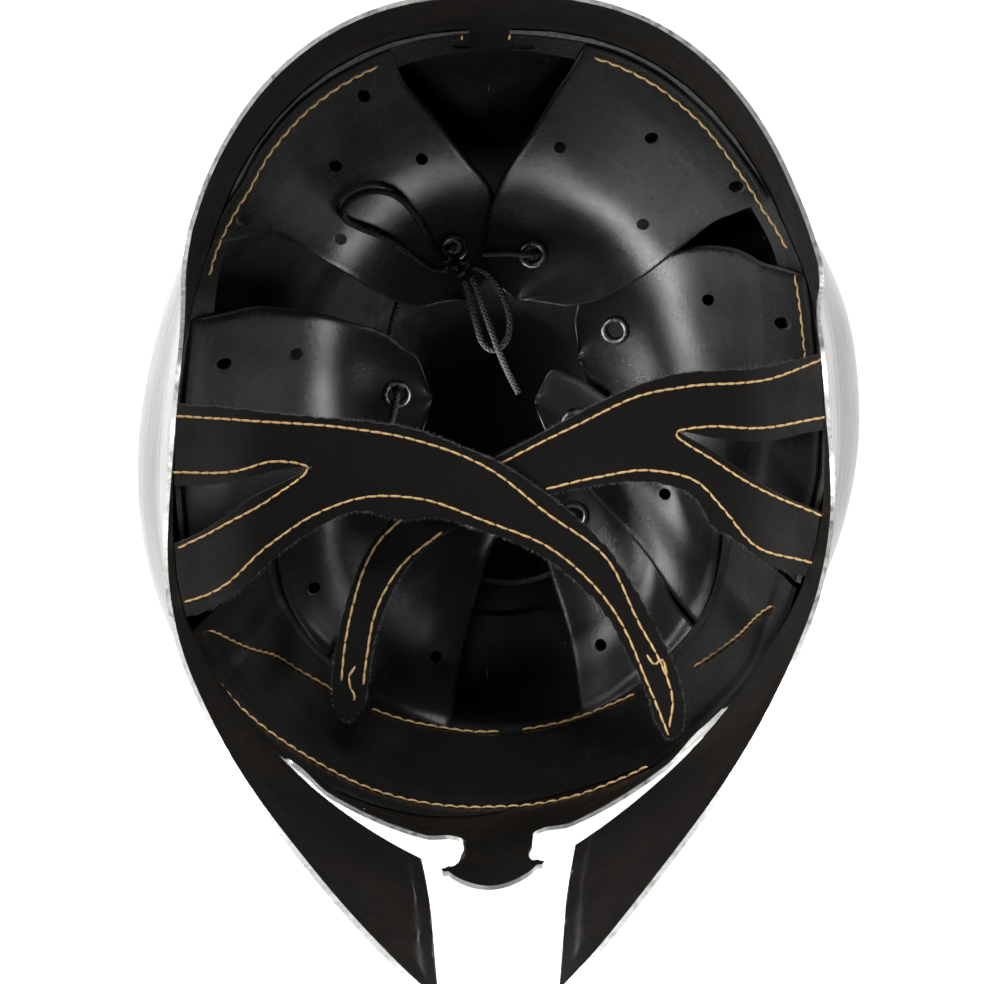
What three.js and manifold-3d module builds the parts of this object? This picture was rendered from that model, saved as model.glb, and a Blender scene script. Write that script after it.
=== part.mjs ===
// A Corinthian type helmet of sheet steel with a laced leather lining, lying on its crown.
// +X is the wearer's side shown right, +Y is the nape, -Y is the face, and +Z points out of the open rim.
import * as THREE from 'three';
import { mergeVertices } from 'three/addons/utils/BufferGeometryUtils.js';
import Module from 'manifold-3d';

const wasm = await Module();
wasm.setup();

// Named sizes, in millimetres.
const WALL = 1.2; // steel sheet
const GAP = 0.35; // air between pieces that meet
const LEATHER = 1.9; // lining and strap leather
const SKULL_WIDTH = 220;
const SKULL_LENGTH = 235;
const HEIGHT = 301; // crown to the cheek tips
const CROWN_FLAT = 0.25; // share of the skull's half width that is flat
const SKEW = 0.085; // the right side sits further back than the left
// The tables below hold the places on a helmet 220 wide, 235 long and 301 high, and follow the sizes above.
const WIDE = SKULL_WIDTH / 220;
const LONG = SKULL_LENGTH / 235;
const TALL = HEIGHT / 301;

const EYELET_OUTER = 4.7;
const EYELET_BORE = 2.6;
const EYELET_FLANGE = 0.7;
const LACE = 2.1;
const BAND_PAD = 6; // thickness of the padded brow band

// Sections of the shell above the widest level: height, half width, front, back, prow share, back fullness.
const SECTIONS = [
  { z: 118, half: 0.5, front: -105, back: 132, prow: 0, full: 2 },
  { z: 128, half: 0.496, front: -105.8, back: 132, prow: 0.08, full: 2 },
  { z: 138, half: 0.483, front: -106, back: 131.6, prow: 0.17, full: 2.05 },
  { z: 146, half: 0.469, front: -105.8, back: 131.2, prow: 0.25, full: 2.1 },
  { z: 151, half: 0.46, front: -105.4, back: 131, prow: 0.3, full: 2.15 },
  { z: 158, half: 0.4545, front: -105.6, back: 131.2, prow: 0.34, full: 2.2 },
  { z: 166, half: 0.447, front: -106, back: 131.8, prow: 0.38, full: 2.25 },
  { z: 176, half: 0.438, front: -106.6, back: 133, prow: 0.44, full: 2.3 },
  { z: 187, half: 0.431, front: -107.6, back: 134.6, prow: 0.5, full: 2.4 },
  { z: 198, half: 0.426, front: -108.8, back: 136.6, prow: 0.62, full: 2.45 },
  { z: 210, half: 0.423, front: -110.4, back: 138.4, prow: 0.76, full: 2.5 },
  { z: 224, half: 0.422, front: -112.6, back: 141.4, prow: 0.9, full: 2.5 },
  { z: 238, half: 0.423, front: -115, back: 144, prow: 1, full: 2.5 },
  { z: 252, half: 0.424, front: -117.4, back: 146.6, prow: 1, full: 2.5 },
  { z: 268, half: 0.423, front: -119.8, back: 150, prow: 1, full: 2.5 },
  { z: 286, half: 0.42, front: -122.4, back: 153, prow: 1, full: 2.5 },
  { z: 306, half: 0.418, front: -125.2, back: 156, prow: 1, full: 2.5 },
];
const DOME_SHARES = [0.4, 0.55, 0.69, 0.81, 0.9, 0.965];

// Rim line seen from the side, nape to cheek tip: place along Y and height.
const RIM = [
  { y: 20, z: 212.5 },
  { y: 8.5, z: 224.5 },
  { y: 3, z: 227 },
  { y: -20, z: 231.5 },
  { y: -51, z: 241 },
  { y: -66, z: 251 },
  { y: -78, z: 261.5 },
  { y: -90, z: 275 },
  { y: -99, z: 285.5 },
  { y: -108, z: 295 },
  { y: -116, z: 301 },
  { y: -150, z: 301 },
];
const RIM_EAR = [
  { share: 1, z: 246 },
  { share: 0.78, z: 238 },
  { share: 0.55, z: 224 },
  { share: 0.3, z: 209 },
  { share: 0.1, z: 201 },
  { share: 0, z: 199.6 },
  { share: -0.2, z: 200.6 },
  { share: -0.42, z: 204.8 },
];
const EAR_Y = 43.5;
const NECK_CORNER = { left: 84, right: 70 };
const NECK_Z = 250;

// Face opening seen from the front, left eye corner round the nasal to the right eye corner and back.
const FACE = [
  { x: -66, z: 163.5 },
  { x: -57, z: 156.5 },
  { x: -46, z: 152.6 },
  { x: -30, z: 150.6 },
  { x: -15, z: 150.4 },
  { x: -11.2, z: 153 },
  { x: -10.4, z: 160 },
  { x: -10.4, z: 200 },
  { x: -11.6, z: 204.5 },
  { x: -13.6, z: 208 },
  { x: -12.6, z: 211 },
  { x: -8, z: 213.2 },
  { x: 0, z: 214 },
  { x: 8, z: 213.2 },
  { x: 12.6, z: 211 },
  { x: 13.6, z: 208 },
  { x: 11.6, z: 204.5 },
  { x: 10.4, z: 200 },
  { x: 10.4, z: 160 },
  { x: 11.2, z: 153 },
  { x: 16, z: 150.4 },
  { x: 32, z: 150.6 },
  { x: 49, z: 152.6 },
  { x: 61, z: 156.5 },
  { x: 71, z: 163.5 },
  { x: 71, z: 166.5 },
  { x: 62, z: 171 },
  { x: 50, z: 177 },
  { x: 32, z: 184 },
  { x: 21.5, z: 187.5 },
  { x: 17.6, z: 245 },
  { x: 13.4, z: 330 },
  { x: -13.4, z: 330 },
  { x: -17.6, z: 245 },
  { x: -21.5, z: 187.5 },
  { x: -31, z: 184 },
  { x: -48, z: 177 },
  { x: -58, z: 171 },
  { x: -66, z: 166.5 },
];

// Edge where the lining meets the steel: degrees from the nape, distance from the lining's axis, height,
// and the share by which the walls lean in towards the floor.
const LINING_AXIS_Y = 17;
const LINING_FLOOR = 44;
const LINING_BOWL = 2.2; // how flat the lining's floor is; 1 is an ellipse
const LINING_EDGE = [
  { deg: 0, r: 116.5, z: 204, lean: 0.12 },
  { deg: 15, r: 114.5, z: 203, lean: 0.12 },
  { deg: 27, r: 110, z: 198, lean: 0.12 },
  { deg: 42, r: 104, z: 190, lean: 0.12 },
  { deg: 55, r: 99.5, z: 183, lean: 0.12 },
  { deg: 70, r: 92, z: 176, lean: 0.12 },
  { deg: 90, r: 87.5, z: 169, lean: 0.12 },
  { deg: 105, r: 89.5, z: 162, lean: 0.12 },
  { deg: 118, r: 96, z: 155, lean: 0.11 },
  { deg: 132, r: 107, z: 147, lean: 0.09 },
  { deg: 147, r: 112.5, z: 138, lean: 0.06 },
  { deg: 160, r: 116.5, z: 129, lean: 0.04 },
  { deg: 180, r: 119, z: 124, lean: 0.02 },
];

// Petals: degrees at the sewn edge (from, to), degrees and reach of the tip, half width near the tip,
// depth step that lets neighbours lap, and where the sewn edge lies as a share of the lining's depth.
const PETALS = [
  { name: 'petal_nape_left', from: -60, to: -14, tip: -11, reach: 0.22, half: 25, step: 1, top: 0.975 },
  { name: 'petal_nape_right', from: 13, to: 60, tip: 8, reach: 0.2, half: 26, step: 0, top: 0.975 },
  { name: 'petal_ear_right', from: 61, to: 114, tip: 53, reach: 0.22, half: 22, step: 2, top: 0.965 },
  { name: 'petal_brow_right_outer', from: 118, to: 141, tip: 100, reach: 0.12, half: 20, step: 0, top: 0.722 },
  { name: 'petal_brow_right_inner', from: 142, to: 165, tip: 145, reach: 0.2, half: 18, step: 1, top: 0.722 },
  { name: 'petal_brow_left_inner', from: -173, to: -146, tip: -170, reach: 0.125, half: 17, step: 0, top: 0.722 },
  { name: 'petal_brow_left_outer', from: -145, to: -121, tip: -125, reach: 0.25, half: 19, step: 1, top: 0.722 },
  { name: 'petal_ear_left', from: -118, to: -72, tip: -84, reach: 0.15, half: 19.5, step: 0, top: 0.965 },
];
const PETAL_STEP = 3.4;
const HOLE = 1.9; // radius of a punched hole

// Punched holes seen from above the opening.
const HOLES = {
  petal_nape_left: [[-39, 117], [-50, 94.5], [-24, 95.5], [-50, 70], [-74, 81]],
  petal_nape_right: [[19.5, 99.5], [46, 104], [46, 75], [69, 91]],
  petal_ear_right: [[67, 51], [84, 50]],
  petal_brow_right_outer: [[54, -12.5], [73, -30]],
  petal_brow_right_inner: [[33.5, -62]],
  petal_brow_left_inner: [[-20, -66]],
  petal_brow_left_outer: [[-36, -46], [-59, -42]],
  petal_ear_left: [[-64, 34], [-82, 37]],
};

// Brow band, between two angles from the nape, from its low edge to its high edge as shares of the depth.
const BROW = { from: 117, to: 237, low: 0.725, high: 0.985 };

// Straps seen from above the opening, edges given from the fixed prongs round the tip and back.
const STRAP_LEFT = {
  edge: [
    [-96, 27], [-80, 24.6], [-66, 22.6], [-52, 21.6], [-38, 20], [-24, 16.6], [-12, 11.6], [0, 6.2], [12, -1.6],
    [24, -11], [34, -21], [42, -33], [49, -46], [54, -57], [56, -66], [55.4, -74], [52, -77], [48.6, -73],
    [45.6, -64], [40, -53], [32, -39], [22, -28.6], [10, -20.4], [-4, -14.6], [-18, -10], [-30, -9.8],
    [-42, -6.4], [-54, -10.6], [-66, -18], [-76, -26.4], [-84, -30.6], [-98, -31],
  ],
  fork: [
    [-100, 9], [-88, 6.4], [-76, 6.2], [-64, 8], [-55, 7.8],
    [-62, 4.6], [-72, 0.6], [-82, -5.6], [-90, -9], [-100, -11],
  ],
  low: 125,
  lowAt: 18,
  rise: 66,
  end: -92,
  tipDrop: -12,
};
const STRAP_RIGHT = {
  edge: [
    [98, 47], [88, 43], [76, 38.6], [64, 36.6], [54, 35], [42, 30.6], [30, 24.4], [18, 17.4], [6, 10.4], [-6, 4],
    [-18, -1.6], [-28, -8], [-36, -16], [-42, -26], [-46.4, -38], [-49, -50], [-50.4, -60], [-50, -69], [-46, -74],
    [-41.6, -70], [-39.8, -62], [-38.4, -52], [-34, -38], [-28, -27], [-20, -18.6], [-8, -12], [4, -7.4], [16, -3.6],
    [28, -0.6], [40, 1.6], [50, 1.6], [58, -1], [64, -9.8], [70, -12.6], [77, -17.4], [86, -20], [98, -20],
  ],
  fork: [
    [100, 25], [90, 22], [78, 17.6], [66, 16.6], [54, 17.6],
    [63, 13], [72, 7.4], [82, 2.4], [91, -0.6], [100, -3],
  ],
  low: 117.2,
  lowAt: -20,
  rise: 71,
  end: 92,
  tipDrop: -7,
};

// Lace drawn through the eyelets: degrees from the nape, share of the lining's depth, height over it.
// A name stands for a pass through that eyelet, down or up.
const LACE_RING = [
  [-6, 0.318, 6.4], [0, 0.316, 6], [5, 0.318, 5.8], ['eyelet_nape_right', 'down'], [21, 0.335, -7.6],
  [32, 0.35, -9.4], [50, 0.37, -9.8], [75, 0.38, -9.8], [100, 0.38, -9.8], [125, 0.37, -9.8], [150, 0.36, -9.8],
  [175, 0.35, -9.8], [200, 0.34, -9.8], [215, 0.338, -9.8], [223, 0.338, -8.4], ['eyelet_brow_left_outer', 'up'],
  [243, 0.338, 4.6], [251, 0.328, 5.2], [260, 0.3, 5.4], ['eyelet_ear_left', 'down'], [288, 0.29, -6.4],
  [300, 0.305, -8.8], [318, 0.325, -9.8], [332, 0.338, -9.8], ['eyelet_nape_left', 'up'],
];
// Bow and free end: place seen from above and height over the lining.
const KNOT = [-12.2, 61, 7.4];
const KNOT_SIZE = 3.3;
const LACE_LOOP_LEFT = [
  [-16.2, 62.6, 7], [-19.5, 66.5, 4], [-23.5, 72.5, 2], [-27.6, 79.2, 1.8], [-32.4, 83.8, 1.8], [-38.2, 85.6, 1.8],
  [-44, 84.6, 1.8], [-48, 81.4, 1.8], [-48.4, 77.2, 1.8], [-44.4, 74, 1.8], [-37, 70.4, 1.8], [-30, 66, 2],
  [-24, 62, 3], [-19.6, 60, 5], [-16.4, 60, 6.6],
];
const LACE_LOOP_RIGHT = [
  [-8, 61, 7.4], [-4.4, 59.4, 7], [-1, 56, 6.2], [1.8, 51, 5.4], [3.6, 45.4, 5], [3.8, 40, 5], [1.8, 35.4, 5.2],
  [-1.8, 33.8, 5.4], [-4.8, 36.2, 5.4], [-6.4, 40.6, 5.4], [-7.8, 46, 5.2], [-9.4, 52, 5.4], [-10.8, 56.6, 6.4],
];
const LACE_END = [
  [-8.6, 58, 9.4], [-6.2, 52.6, 8.8], [-4.4, 47, 8.2], [-2.6, 42, 8.4], [-1, 37.4, 8.6], [0.8, 32.6, 8.2],
  [2.8, 27.8, 6.4], [4.8, 23.6, 4.4], [6.8, 19.6, 4.2],
];

const rad = (d) => (d * Math.PI) / 180;
const mix = (a, b, t) => a + (b - a) * t;

function lookup(rows, key, at) {
  // The row values at a place between rows, eased along a straight line.
  let i = 0;
  while (i < rows.length - 2 && rows[i + 1][key] < at) i++;
  const a = rows[i];
  const b = rows[i + 1];
  const t = THREE.MathUtils.clamp((at - a[key]) / (b[key] - a[key]), 0, 1);
  const out = {};
  for (const k of Object.keys(a)) out[k] = mix(a[k], b[k], t);
  return out;
}

function solid(geometry) {
  // A closed geometry as a solid that can be joined and cut.
  const g = geometry.index ? geometry.toNonIndexed() : geometry.clone();
  g.deleteAttribute('normal');
  g.deleteAttribute('uv');
  const m = mergeVertices(g, 1e-4);
  const tri = new Uint32Array(m.index.array);
  const p = m.attributes.position.array;
  let volume = 0;
  for (let i = 0; i < tri.length; i += 3) {
    const a = new THREE.Vector3().fromArray(p, tri[i] * 3);
    const b = new THREE.Vector3().fromArray(p, tri[i + 1] * 3);
    const c = new THREE.Vector3().fromArray(p, tri[i + 2] * 3);
    volume += a.dot(b.cross(c));
  }
  if (volume < 0) for (let i = 0; i < tri.length; i += 3) [tri[i], tri[i + 1]] = [tri[i + 1], tri[i]];
  return new wasm.Manifold(new wasm.Mesh({ numProp: 3, vertProperties: new Float32Array(p), triVerts: tri }));
}

function geometryOf(body) {
  // A solid back as a geometry.
  const mesh = body.getMesh();
  const g = new THREE.BufferGeometry();
  const pos = new Float32Array(mesh.numVert * 3);
  for (let i = 0; i < mesh.numVert; i++) {
    for (let k = 0; k < 3; k++) pos[i * 3 + k] = mesh.vertProperties[i * mesh.numProp + k];
  }
  g.setAttribute('position', new THREE.BufferAttribute(pos, 3));
  g.setIndex(new THREE.BufferAttribute(new Uint32Array(mesh.triVerts), 1));
  return g;
}

function closed(points, rows, cols, { wrap = false } = {}) {
  // A slab between two grids: points[side][row][col], joined round its border.
  const pos = [];
  const id = [];
  for (let s = 0; s < 2; s++) {
    id.push([]);
    for (let r = 0; r < rows; r++) {
      id[s].push([]);
      for (let c = 0; c < cols; c++) {
        id[s][r].push(pos.length / 3);
        pos.push(...points[s][r][c]);
      }
    }
  }
  const tri = [];
  const quad = (a, b, c, d) => tri.push(a, b, c, a, c, d);
  const last = wrap ? cols : cols - 1;
  for (let r = 0; r < rows - 1; r++) {
    for (let c = 0; c < last; c++) {
      const n = (c + 1) % cols;
      quad(id[0][r][c], id[0][r][n], id[0][r + 1][n], id[0][r + 1][c]);
      quad(id[1][r][c], id[1][r + 1][c], id[1][r + 1][n], id[1][r][n]);
    }
  }
  for (let c = 0; c < last; c++) {
    const n = (c + 1) % cols;
    quad(id[0][0][c], id[1][0][c], id[1][0][n], id[0][0][n]);
    quad(id[0][rows - 1][c], id[0][rows - 1][n], id[1][rows - 1][n], id[1][rows - 1][c]);
  }
  if (!wrap) {
    for (let r = 0; r < rows - 1; r++) {
      quad(id[0][r][0], id[0][r + 1][0], id[1][r + 1][0], id[1][r][0]);
      quad(id[0][r][cols - 1], id[1][r][cols - 1], id[1][r + 1][cols - 1], id[0][r + 1][cols - 1]);
    }
  }
  const g = new THREE.BufferGeometry();
  g.setAttribute('position', new THREE.Float32BufferAttribute(pos, 3));
  g.setIndex(tri);
  return g;
}

function outlinePrism(points, low, high) {
  // An upright prism over a plan outline, sides smoothed through its points.
  const shape = new THREE.Shape(points.map(([x, y]) => new THREE.Vector2(x * WIDE, y * LONG)));
  const g = new THREE.ExtrudeGeometry(shape, { depth: high - low, bevelEnabled: false });
  g.translate(0, 0, low);
  return solid(g);
}

function smooth(points, times, loop) {
  // A finer list of points on a smooth curve through the given ones.
  const path = new THREE.CatmullRomCurve3(points.map((p) => new THREE.Vector3(p[0], p[1], p[2] ?? 0)), loop);
  return path.getPoints(points.length * times).map((p) => [p.x, p.y, p.z]);
}

const group = new THREE.Group();
group.name = 'greek_helmet';

function add(name, geometry, colour, roughness, metalness) {
  const material = new THREE.MeshStandardMaterial({ color: colour, roughness, metalness });
  const mesh = new THREE.Mesh(geometry, material);
  mesh.name = name;
  group.add(mesh);
  return mesh;
}

// Steel shell: one raised sheet, with the rim and the face opening cut out of it.
const AROUND = 52;

function skewed([x, y, z]) {
  // Shifts the sides along Y, fading out towards the nape.
  const fade = THREE.MathUtils.clamp((95 - y / LONG) / 60, 0, 1);
  return [x, y + SKEW * x * fade, z];
}

function ring(section, turn, share = 1) {
  // A point of a section: turn 0 at the nape, 0.5 at the face.
  const a = turn * 2 * Math.PI;
  const centre = mix(12, 3, THREE.MathUtils.clamp((section.z - 118) / 69, 0, 1));
  const half = section.half * 220;
  const c = Math.cos(a);
  const s = Math.sin(a);
  if (c >= 0) {
    const p = 2 / section.full;
    const x = half * Math.sign(s) * Math.abs(s) ** p;
    return [x * share, centre + (section.back - centre) * c ** p * share, section.z];
  }
  const q = -c;
  const oval = Math.sqrt(Math.max(0, 1 - q * q));
  const ogive = 1 - q ** 2.2;
  const x = half * Math.sign(s) * mix(oval, ogive, section.prow);
  return [x * share, centre - (centre - section.front) * q * share, section.z];
}

function shellRows(inset) {
  // Grid of the outside, or of a surface that lies the inset inside it.
  const rows = [];
  const base = Math.sqrt(1 - CROWN_FLAT ** 2);
  const widest = SECTIONS[0];
  const skull = widest.z;
  for (const share of [CROWN_FLAT, ...DOME_SHARES]) {
    const z = skull * (1 - Math.sqrt(1 - share * share) / base);
    rows.push({ ...widest, z, share });
  }
  for (const section of SECTIONS) rows.push({ ...section, share: 1 });
  const grid = rows.map((row) => Array.from({ length: AROUND }, (_, i) => {
    const p = ring({ ...row, z: row.share < 1 ? skull : row.z }, i / AROUND, row.share);
    return new THREE.Vector3(p[0] * WIDE, p[1] * LONG, row.z * TALL);
  }));
  if (!inset) return grid.map((r) => r.map((p) => p.toArray()));
  return grid.map((r, j) => r.map((p, i) => {
    const along = grid[Math.min(j + 1, grid.length - 1)][i].clone().sub(grid[Math.max(j - 1, 0)][i]);
    const side = r[(i + 1) % AROUND].clone().sub(r[(i + AROUND - 1) % AROUND]);
    const normal = side.cross(along).normalize();
    if (j === 0) normal.set(0, 0, -1).add(new THREE.Vector3(p.x, p.y - 12, 0).normalize().multiplyScalar(0.12)).normalize();
    if (normal.x * p.x + normal.y * (p.y - 8) < 0) normal.negate();
    const q = p.clone().addScaledVector(normal, -inset);
    if (j === 0) q.z = inset;
    return q.toArray();
  }));
}

function hollow(grid, top) {
  // A filled body inside a grid, closed by a fan at the crown and one at the top.
  const rows = grid.map((r) => r.map((p) => [...p]));
  const last = rows[rows.length - 1];
  if (top) for (const p of last) p[2] = top;
  const pos = rows.flat(2);
  const n = rows[0].length;
  const low = pos.length / 3;
  pos.push(0, 12, rows[0][0][2]);
  const high = low + 1;
  pos.push(0, 12, last[0][2]);
  const tri = [];
  for (let i = 0; i < n; i++) {
    const k = (i + 1) % n;
    tri.push(low, i, k);
    for (let j = 0; j < rows.length - 1; j++) {
      const a = j * n + i;
      const b = j * n + k;
      tri.push(a, a + n, b, b, a + n, b + n);
    }
    const e = (rows.length - 1) * n;
    tri.push(high, e + k, e + i);
  }
  const g = new THREE.BufferGeometry();
  g.setAttribute('position', new THREE.Float32BufferAttribute(pos, 3));
  g.setIndex(tri);
  return solid(g);
}

const outside = hollow(shellRows(0));
const inside = hollow(shellRows(WALL), HEIGHT * 1.05);
const fitting = hollow(shellRows(WALL + GAP), HEIGHT * 1.05);

function rimCutter(side) {
  // The air above the rim line of one side.
  const corner = NECK_CORNER[side];
  const ear = RIM_EAR.map(({ share, z }) => [EAR_Y + share * (share > 0 ? corner - EAR_Y : 40), z]);
  const line = [[170, NECK_Z], ...ear, ...RIM.map(({ y, z }) => [y, z])];
  const high = [[-150, 400], [170, 400]];
  const shape = new THREE.Shape([...line, ...high].map(([y, z]) => new THREE.Vector2(y * LONG, z * TALL)));
  const g = new THREE.ExtrudeGeometry(shape, { depth: SKULL_WIDTH, bevelEnabled: false });
  g.rotateX(Math.PI / 2);
  g.rotateZ(Math.PI / 2);
  if (side === 'left') g.translate(-SKULL_WIDTH, 0, 0);
  return solid(g);
}

const faceShape = new THREE.Shape(FACE.map(({ x, z }) => new THREE.Vector2(x * WIDE, z * TALL)));
const faceCut = new THREE.ExtrudeGeometry(faceShape, { depth: SKULL_LENGTH, bevelEnabled: false });
faceCut.rotateX(Math.PI / 2);
faceCut.translate(0, -30 * LONG, 0);

let shell = outside.subtract(inside);
shell = shell.subtract(rimCutter('left')).subtract(rimCutter('right')).subtract(solid(faceCut));
const skew = (body) => body.warp((v) => {
  const p = skewed(v);
  v[1] = p[1];
});
shell = skew(shell);
const room = skew(fitting);
add('shell', geometryOf(shell), '#b9b9b6', 0.32, 0.9);

// Lining surface that the petals, the bands and the lace all lie on.
function lining(deg, share, lift = 0) {
  // A point of the lining: share 1 at its sewn edge and 0 at its floor, moved inwards by the lift.
  const turn = ((deg + 540) % 360) - 180;
  const edge = lookup(LINING_EDGE, 'deg', Math.abs(turn));
  const t = share * Math.PI * 0.5;
  const deep = edge.z - LINING_FLOOR;
  const rise = (1 - Math.cos(t)) ** LINING_BOWL;
  const r = edge.r * Math.sin(t) * (1 - edge.lean * (1 - rise));
  const z = LINING_FLOOR + deep * rise;
  const climb = deep * LINING_BOWL * (1 - Math.cos(t)) ** (LINING_BOWL - 1) * Math.sin(t);
  const slope = Math.atan2(climb, edge.r * Math.cos(t));
  const a = rad(turn);
  const x = r * Math.sin(a) * WIDE - lift * Math.sin(slope) * Math.sin(a);
  const y = (LINING_AXIS_Y + r * Math.cos(a)) * LONG - lift * Math.sin(slope) * Math.cos(a);
  return [x, y, z * TALL + lift * Math.cos(slope)];
}

// Petals of black leather with their punched holes, then the metal eyelets at their tips.
const dark = '#141313';
const eyelets = [];
for (const petal of PETALS) {
  const rows = 10;
  const cols = 6;
  const span = petal.to - petal.from;
  const mid = petal.from + span / 2;
  const grid = [[], []];
  const place = (t, w, lift) => {
    const share = mix(petal.top, petal.reach, t);
    const deg = mix(mid, petal.tip, t ** 1.2);
    const radius = Math.hypot(lining(deg, share)[0], lining(deg, share)[1] - LINING_AXIS_Y * LONG);
    const sewn = Math.hypot(lining(mid, petal.top)[0], lining(mid, petal.top)[1] - LINING_AXIS_Y * LONG);
    const half = mix(rad(span / 2) * sewn, petal.half * WIDE, Math.min(1, t * 1.15));
    const round = t < 0.72 ? 1 : Math.sqrt(Math.max(0, 1 - ((t - 0.72) / 0.281) ** 2));
    const off = ((w * half * round) / radius) * (180 / Math.PI);
    const drop = petal.step * PETAL_STEP * THREE.MathUtils.smoothstep(t, 0.06, 0.4);
    return lining(deg + off, share, lift - drop);
  };
  for (let r = 0; r < rows; r++) {
    const t = r / (rows - 1);
    for (let s = 0; s < 2; s++) {
      grid[s].push([]);
      for (let c = 0; c < cols; c++) {
        grid[s][r].push(place(t * 0.995, (c / (cols - 1)) * 2 - 1, GAP + (s ? LEATHER : 0)));
      }
    }
  }
  let body = solid(closed(grid, rows, cols));
  const centre = new THREE.Vector3(...place(0.84, 0, GAP + LEATHER / 2));
  const over = new THREE.Vector3(...place(0.84, 0, GAP + LEATHER / 2 + 5));
  const axis = over.clone().sub(centre).normalize();
  const turn = new THREE.Quaternion().setFromUnitVectors(new THREE.Vector3(0, 1, 0), axis);
  const bore = new THREE.CylinderGeometry(EYELET_BORE + 0.6 + GAP, EYELET_BORE + 0.6 + GAP, 14, 12);
  bore.applyQuaternion(turn);
  bore.translate(...centre.toArray());
  body = body.subtract(solid(bore));
  for (const side of [-1, 1]) {
    const press = new THREE.CylinderGeometry(EYELET_OUTER + GAP, EYELET_OUTER + GAP, 6, 12);
    press.translate(0, side * (3 + LEATHER / 2), 0);
    press.applyQuaternion(turn);
    press.translate(...centre.toArray());
    body = body.subtract(solid(press));
  }
  for (const [x, y] of HOLES[petal.name]) {
    const punch = new THREE.CylinderGeometry(HOLE, HOLE, HEIGHT, 7);
    punch.rotateX(Math.PI / 2);
    punch.translate(x * WIDE, y * LONG, HEIGHT / 2);
    body = body.subtract(solid(punch));
  }
  add(petal.name, geometryOf(body.intersect(room)), dark, 0.35, 0);
  eyelets.push({ name: petal.name.replace('petal', 'eyelet'), centre, turn });
}

for (const { name, centre, turn } of eyelets) {
  const half = LEATHER / 2 + GAP;
  const profile = [
    [EYELET_BORE, -half - EYELET_FLANGE],
    [EYELET_OUTER, -half - EYELET_FLANGE * 0.6],
    [EYELET_OUTER, -half],
    [EYELET_BORE + 0.6, -half],
    [EYELET_BORE + 0.6, half],
    [EYELET_OUTER, half],
    [EYELET_OUTER, half + EYELET_FLANGE * 0.6],
    [EYELET_BORE, half + EYELET_FLANGE],
    [EYELET_BORE, -half - EYELET_FLANGE],
  ].map(([x, y]) => new THREE.Vector2(x, y));
  const g = new THREE.LatheGeometry(profile, 10);
  g.applyQuaternion(turn);
  g.translate(...centre.toArray());
  add(name, geometryOf(solid(g)), '#2b2a29', 0.3, 0.8);
}

// Rear bands, sewn outside the petals.
function strip(from, to, low, high, lift, thick, rows, cols) {
  // A strip of the lining between two angles, with its thickness outwards from the lift.
  const grid = [[], []];
  for (let r = 0; r < rows; r++) {
    for (let s = 0; s < 2; s++) {
      grid[s].push([]);
      for (let c = 0; c < cols; c++) {
        const share = mix(low, high, r / (rows - 1));
        grid[s][r].push(lining(mix(from, to, c / (cols - 1)), share, lift - (s ? 0 : thick)));
      }
    }
  }
  return solid(closed(grid, rows, cols));
}
add('rear_band_left', geometryOf(strip(-116, -4, 0.93, 1, -GAP, LEATHER, 2, 21).intersect(room)), dark, 0.6, 0);
add('rear_band_right', geometryOf(strip(1.5, 116, 0.93, 1, -GAP, LEATHER, 2, 21).intersect(room)), dark, 0.6, 0);

// Padded brow band.
{
  const rows = 7;
  const cols = 21;
  const grid = [[], []];
  for (let r = 0; r < rows; r++) {
    for (let s = 0; s < 2; s++) {
      grid[s].push([]);
      for (let c = 0; c < cols; c++) {
        const t = r / (rows - 1);
        const u = c / (cols - 1);
        const puff = Math.sqrt(Math.max(0, 1 - (2 * t - 1) ** 2)) * Math.min(1, Math.sin(u * Math.PI) * 4);
        const lift = s ? LEATHER + (BAND_PAD / 2) * puff : -0.4 - 1.2 * puff;
        grid[s][r].push(lining(mix(BROW.from, BROW.to, u), mix(BROW.low, BROW.high, t), lift));
      }
    }
  }
  add('brow_band', geometryOf(solid(closed(grid, rows, cols)).intersect(room)), dark, 0.4, 0);
}

// Forked suede straps that cross over the lining.
function strapHeight(s, x, y) {
  // Height of a strap's underside: lowest near the middle, rising to its fixed end, dropping to its tip.
  const d = (x - s.lowAt) / (s.end - s.lowAt);
  const rise = d > 0 ? s.rise * d ** 2.2 : 0;
  const drop = d < 0 ? s.tipDrop * THREE.MathUtils.smoothstep(-d, 0, 0.42) : 0;
  return s.low + rise - drop * THREE.MathUtils.smoothstep(-y, 0, 70);
}

function strapBody(s) {
  // A curved slab cut to the strap's outline.
  const rows = 23;
  const cols = 8;
  const grid = [[], []];
  for (let r = 0; r < rows; r++) {
    for (let k = 0; k < 2; k++) {
      grid[k].push([]);
      for (let c = 0; c < cols; c++) {
        const x = mix(-104, 104, r / (rows - 1));
        const y = mix(52, -90, c / (cols - 1));
        grid[k][r].push([x * WIDE, y * LONG, strapHeight(s, x, y) * TALL + (k ? LEATHER : 0)]);
      }
    }
  }
  const outer = outlinePrism(smooth(s.edge, 1, false), 0, HEIGHT);
  const fork = outlinePrism(s.fork, -10, HEIGHT + 10);
  return solid(closed(grid, rows, cols)).intersect(outer.subtract(fork)).intersect(room);
}
add('strap_left', geometryOf(strapBody(STRAP_LEFT)), '#171614', 0.75, 0);
add('strap_right', geometryOf(strapBody(STRAP_RIGHT)), '#171614', 0.75, 0);

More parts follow.
